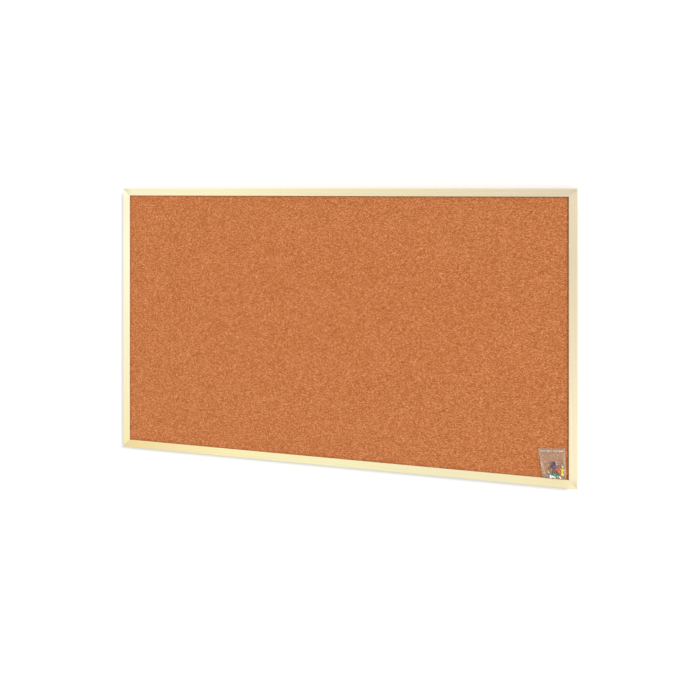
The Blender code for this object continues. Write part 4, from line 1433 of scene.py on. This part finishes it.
class BoardBuildBag(bpy.types.Operator):
    """Make the grip-seal bag, its seal strips and the glue dot behind it"""

    bl_idname = "board.build_bag"
    bl_label = "Bag"

    def execute(self, context):
        clear = film_material()
        film = BagFilm(context.scene.board_bag)
        bag = add_piece("film_bag", film.mesh(), clear, "pin_bag", ["bag_film"])
        for node in ("seal_groove", "seal_rib"):
            add_piece("strip_" + node, strip_mesh(node), clear, "pin_bag", [node])
        add_piece("soft_glue_dot", glue_dot_mesh(), glue_material(), "pin_bag", ["glue_dot"])
        return {"FINISHED"}


# Push pins -----------------------------------------------------------------------------------------


class BoardPinLooks(bpy.types.PropertyGroup):
    """Colours and sizes of the push pins."""

    blue: colour_setting("Blue", "Colour of the blue pin", (0.012, 0.028, 0.20))
    coral: colour_setting("Coral", "Colour of the coral pin", (0.80, 0.10, 0.10))
    green: colour_setting("Green", "Colour of the green pin", (0.02, 0.26, 0.12))
    yellow: colour_setting("Yellow", "Colour of the yellow pin", (0.92, 0.80, 0.05))
    white: colour_setting("White", "Colour of the white pin", (0.90, 0.90, 0.89))
    head_length: length_setting("Head length", "Length of a moulded head", 12 * MM)
    collar: length_setting("Collar", "Radius of the collar by the needle", 4.1 * MM)
    waist: length_setting("Waist", "Radius of the grip between the ends", 2.1 * MM)
    knob: length_setting("Knob", "Radius of the knob", 3.4 * MM)
    needle: length_setting("Needle", "Radius of the needle", 0.55 * MM)
    needle_buried: length_setting("Needle buried", "Length of needle inside the head", 6 * MM)


def pin_axis(colour):
    """A pin's tip, the middle of its crown and the direction from tip to crown."""
    head = [vertex.co for vertex in frame["nodes"]["pin_head_" + colour].data.vertices]
    needle = [vertex.co for vertex in frame["nodes"]["pin_needle_" + colour].data.vertices]
    centre = sum(head, Vector()) / len(head)
    tip = max(needle, key=lambda p: (p - centre).length)
    crown = max(head, key=lambda p: (p - tip).length)
    return tip, crown, (crown - tip).normalized()


def pin_head_profile(looks):
    """The head's profile about Z, from the crown at Z zero down to the needle's hole."""
    collar, waist, knob, length = looks.collar, looks.waist, looks.knob, looks.head_length
    hole = looks.needle + 0.12 * MM
    outside = [
        (0.0, 0.0),
        (0.55 * knob, -0.15 * MM),
        (0.92 * knob, -0.5 * MM),
        (knob, -1.2 * MM),
        (0.98 * knob, -1.9 * MM),
        (0.72 * knob, -2.9 * MM),
        (waist, -4.2 * MM),
        (0.96 * waist, -5.6 * MM),
        (waist, -7.0 * MM),
        (0.66 * collar, -8.9 * MM),
        (0.93 * collar, -10.1 * MM),
        (collar, -10.9 * MM),
        (0.985 * collar, 0.15 * MM - length),
        (0.90 * collar, -length),
        (0.50 * collar, -length),
    ]
    inside = [(hole, -length), (hole, looks.needle_buried - length), (0.0, looks.needle_buried - length)]
    return rounded(outside, 2) + inside


def needle_profile(looks, length):
    """The needle's profile about Z, from its blunt end at Z zero down to its ground tip."""
    radius = looks.needle
    return [(0.0, 0.0), (0.9 * radius, 0.0), (radius, -0.1 * MM), (radius, 2.2 * MM - length),
            (0.72 * radius, 1.3 * MM - length), (0.34 * radius, 0.5 * MM - length), (0.0, -length)]


class BoardBuildPins(bpy.types.Operator):
    """Make the five push pins that lie in the bag"""

    bl_idname = "board.build_pins"
    bl_label = "Push pins"

    def execute(self, context):
        looks = context.scene.board_pins
        steel = steel_material("needle_steel", (0.72, 0.72, 0.70), 0.20, 400.0)
        for colour in PIN_COLOURS:
            tip, crown, up = pin_axis(colour)
            turn = up.to_track_quat("Z", "Y").to_matrix().to_4x4()
            plastic = moulded_material(colour + "_plastic", getattr(looks, colour), 0.22, 300.0, 0.25)
            head = turned_mesh("pin_head", pin_head_profile(looks), 48)
            head.transform(Matrix.Translation(crown) @ turn)
            add_piece("push_pin_" + colour, shaded(head, 45), plastic, "pin_bag",
                      ["pin_head_" + colour])
            blunt = crown + up * (looks.needle_buried - looks.head_length - 0.1 * MM)
            needle = turned_mesh("needle", needle_profile(looks, (blunt - tip).length), 20)
            needle.transform(Matrix.Translation(blunt) @ turn)
            add_piece("pin_point_" + colour, shaded(needle, 45), steel, "pin_bag",
                      ["pin_needle_" + colour])
        return {"FINISHED"}


# Studio --------------------------------------------------------------------------------------------


class BoardStudioLooks(bpy.types.PropertyGroup):
    """The studio's light and camera."""

    light_level: FloatProperty(name="Light level", description="Light that falls on the board's front",
                               default=1.215, min=0.1, max=4.0)
    sky: FloatProperty(name="Sky", description="Strength of the even light from all round",
                       default=0.92, min=0.0, max=4.0)
    key_power: FloatProperty(name="Key power", description="Strength of the soft lamp up to the right",
                             default=1.70, min=0.0)
    key_spread: FloatProperty(name="Key spread", description="How wide the soft lamp looks from the board",
                              default=math.radians(10), subtype="ANGLE")
    lens: FloatProperty(name="Lens", description="The camera's focal length in millimetres",
                        default=30.03, min=5.0)
    camera_turn: FloatProperty(name="Camera turn", description="Turn of the camera to the board's left",
                               default=math.radians(11.18), subtype="ANGLE")
    camera_place: FloatVectorProperty(name="Camera place", subtype="TRANSLATION",
                                      description="The camera's place from the middle of the frame's front",
                                      default=(0.2805, -1.228, 0.302))
    camera_shift: FloatProperty(name="Camera shift", description="Shift up that keeps the sides upright",
                                default=-0.2324)


def plane_mesh(name, size):
    """A flat square in XY, cut into cells."""
    shape = bmesh.new()
    bmesh.ops.create_grid(shape, x_segments=8, y_segments=8, size=size / 2)
    return mesh_from(shape, name)


def studio_material(name, colour, one_sided):
    """Matt pale paint with faint mottling. A one-sided wall can't be seen from behind."""
    made, graph, shader, place = new_material(name, Roughness=0.9)
    clouds = graph.group("Mottle", Vector=place, Scale=1.5, Contrast=0.6)["Value"]
    dim = tuple(0.99 * value for value in colour)
    graph.put(shader.inputs["Base Color"], graph.mix(clouds, opaque(dim), opaque(colour)))
    if one_sided:
        clear = graph.add("ShaderNodeBsdfTransparent").outputs[0]
        back = graph.add("ShaderNodeNewGeometry").outputs["Backfacing"]
        mixed = graph.tree.nodes.new("ShaderNodeMixShader")
        graph.put(mixed.inputs[0], back)
        graph.put(mixed.inputs[1], shader.outputs[0])
        graph.put(mixed.inputs[2], clear)
        graph.put(graph.tree.nodes["Material Output"].inputs["Surface"], mixed.outputs[0])
    return made


def add_backdrop():
    """A pale floor well below the board and a pale wall just behind it, neither of which blocks light."""
    floor = scratch("studio_floor", plane_mesh("floor", 14.0))
    floor.data.transform(Matrix.Translation((0, 0, CAD_BOUNDS[0].z - 0.9)))
    floor.data.materials.append(studio_material("pale_floor", (0.93, 0.93, 0.93), False))
    wall = scratch("studio_wall", plane_mesh("wall", 14.0))
    wall.data.transform(Matrix.Translation((0, CAD_BOUNDS[1].y + 0.6 * MM, 0)) @
                        Matrix.Rotation(math.radians(90), 4, "X"))
    wall.data.materials.append(studio_material("pale_wall", (0.835, 0.835, 0.84), True))
    for made in (floor, wall):
        made.visible_diffuse = False
        made.visible_glossy = False
        made.visible_transmission = False
        made.visible_shadow = False


def add_lights(looks):
    """Even light from all round, and a soft lamp far off, up to the right in front of the board."""
    world = bpy.data.worlds.new("studio_sky")
    world.use_nodes = True
    sky = world.node_tree.nodes["Background"]
    sky.inputs["Color"].default_value = (1.0, 1.0, 1.0, 1.0)
    sky.inputs["Strength"].default_value = looks.sky
    bpy.context.scene.world = world
    lamp = bpy.data.lights.new("key_lamp", "SUN")
    lamp.energy = looks.key_power
    lamp.angle = looks.key_spread
    key = scratch("key_lamp", lamp)
    key.location = BOARD_CENTRE + Vector((1.75, -2.2, 1.45))
    aim = BOARD_CENTRE - key.location
    key.rotation_euler = aim.to_track_quat("-Z", "Y").to_euler()


def add_camera(looks):
    """A level camera to the board's right that looks a little to its left."""
    camera = bpy.data.cameras.new("camera")
    camera.lens = looks.lens
    camera.sensor_width = 36.0
    camera.shift_y = looks.camera_shift
    made = scratch("camera", camera)
    made.location = Vector((0, FRAME_LOW.y, BOARD_CENTRE.z)) + Vector(looks.camera_place)
    made.rotation_euler = (math.radians(90), 0.0, looks.camera_turn)
    bpy.context.scene.camera = made


class BoardBuildStudio(bpy.types.Operator):
    """Make the pale floor and wall, the lights and the camera"""

    bl_idname = "board.build_studio"
    bl_label = "Studio"

    def execute(self, context):
        looks = context.scene.board_studio
        add_backdrop()
        add_lights(looks)
        add_camera(looks)
        context.scene.view_settings.view_transform = "Standard"
        return {"FINISHED"}


# Add-on --------------------------------------------------------------------------------------------


OPERATORS = (BoardBuildFrame, BoardBuildPanel, BoardBuildFixings, BoardBuildHangers, BoardBuildBumpers,
             BoardBuildBag, BoardBuildPins, BoardBuildStudio)
PROPERTY_GROUPS = {
    "board_frame": BoardFrameLooks,
    "board_panel": BoardPanelLooks,
    "board_fixings": BoardFixingLooks,
    "board_bag": BoardBagLooks,
    "board_pins": BoardPinLooks,
    "board_studio": BoardStudioLooks,
}


class BoardPanel(bpy.types.Panel):
    """Lists the board's sizes and colours, and the operators that build it"""

    bl_idname = "VIEW3D_PT_board"
    bl_label = "Cork bulletin board"
    bl_space_type = "VIEW_3D"
    bl_region_type = "UI"
    bl_category = "Board"

    def draw(self, context):
        for operator in OPERATORS:
            self.layout.operator(operator.bl_idname)
        for name, group in PROPERTY_GROUPS.items():
            box = self.layout.box()
            for label in group.__annotations__:
                box.prop(getattr(context.scene, name), label)


def register():
    for made in (*PROPERTY_GROUPS.values(), *OPERATORS, BoardPanel):
        bpy.utils.register_class(made)
    for name, group in PROPERTY_GROUPS.items():
        setattr(bpy.types.Scene, name, PointerProperty(type=group))


def unregister():
    for name in PROPERTY_GROUPS:
        delattr(bpy.types.Scene, name)
    for made in reversed((*PROPERTY_GROUPS.values(), *OPERATORS, BoardPanel)):
        bpy.utils.unregister_class(made)


def main():
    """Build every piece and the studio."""
    register()
    for operator in OPERATORS:
        group, name = operator.bl_idname.split(".")
        getattr(getattr(bpy.ops, group), name)()


if __name__ == "__main__":
    main()
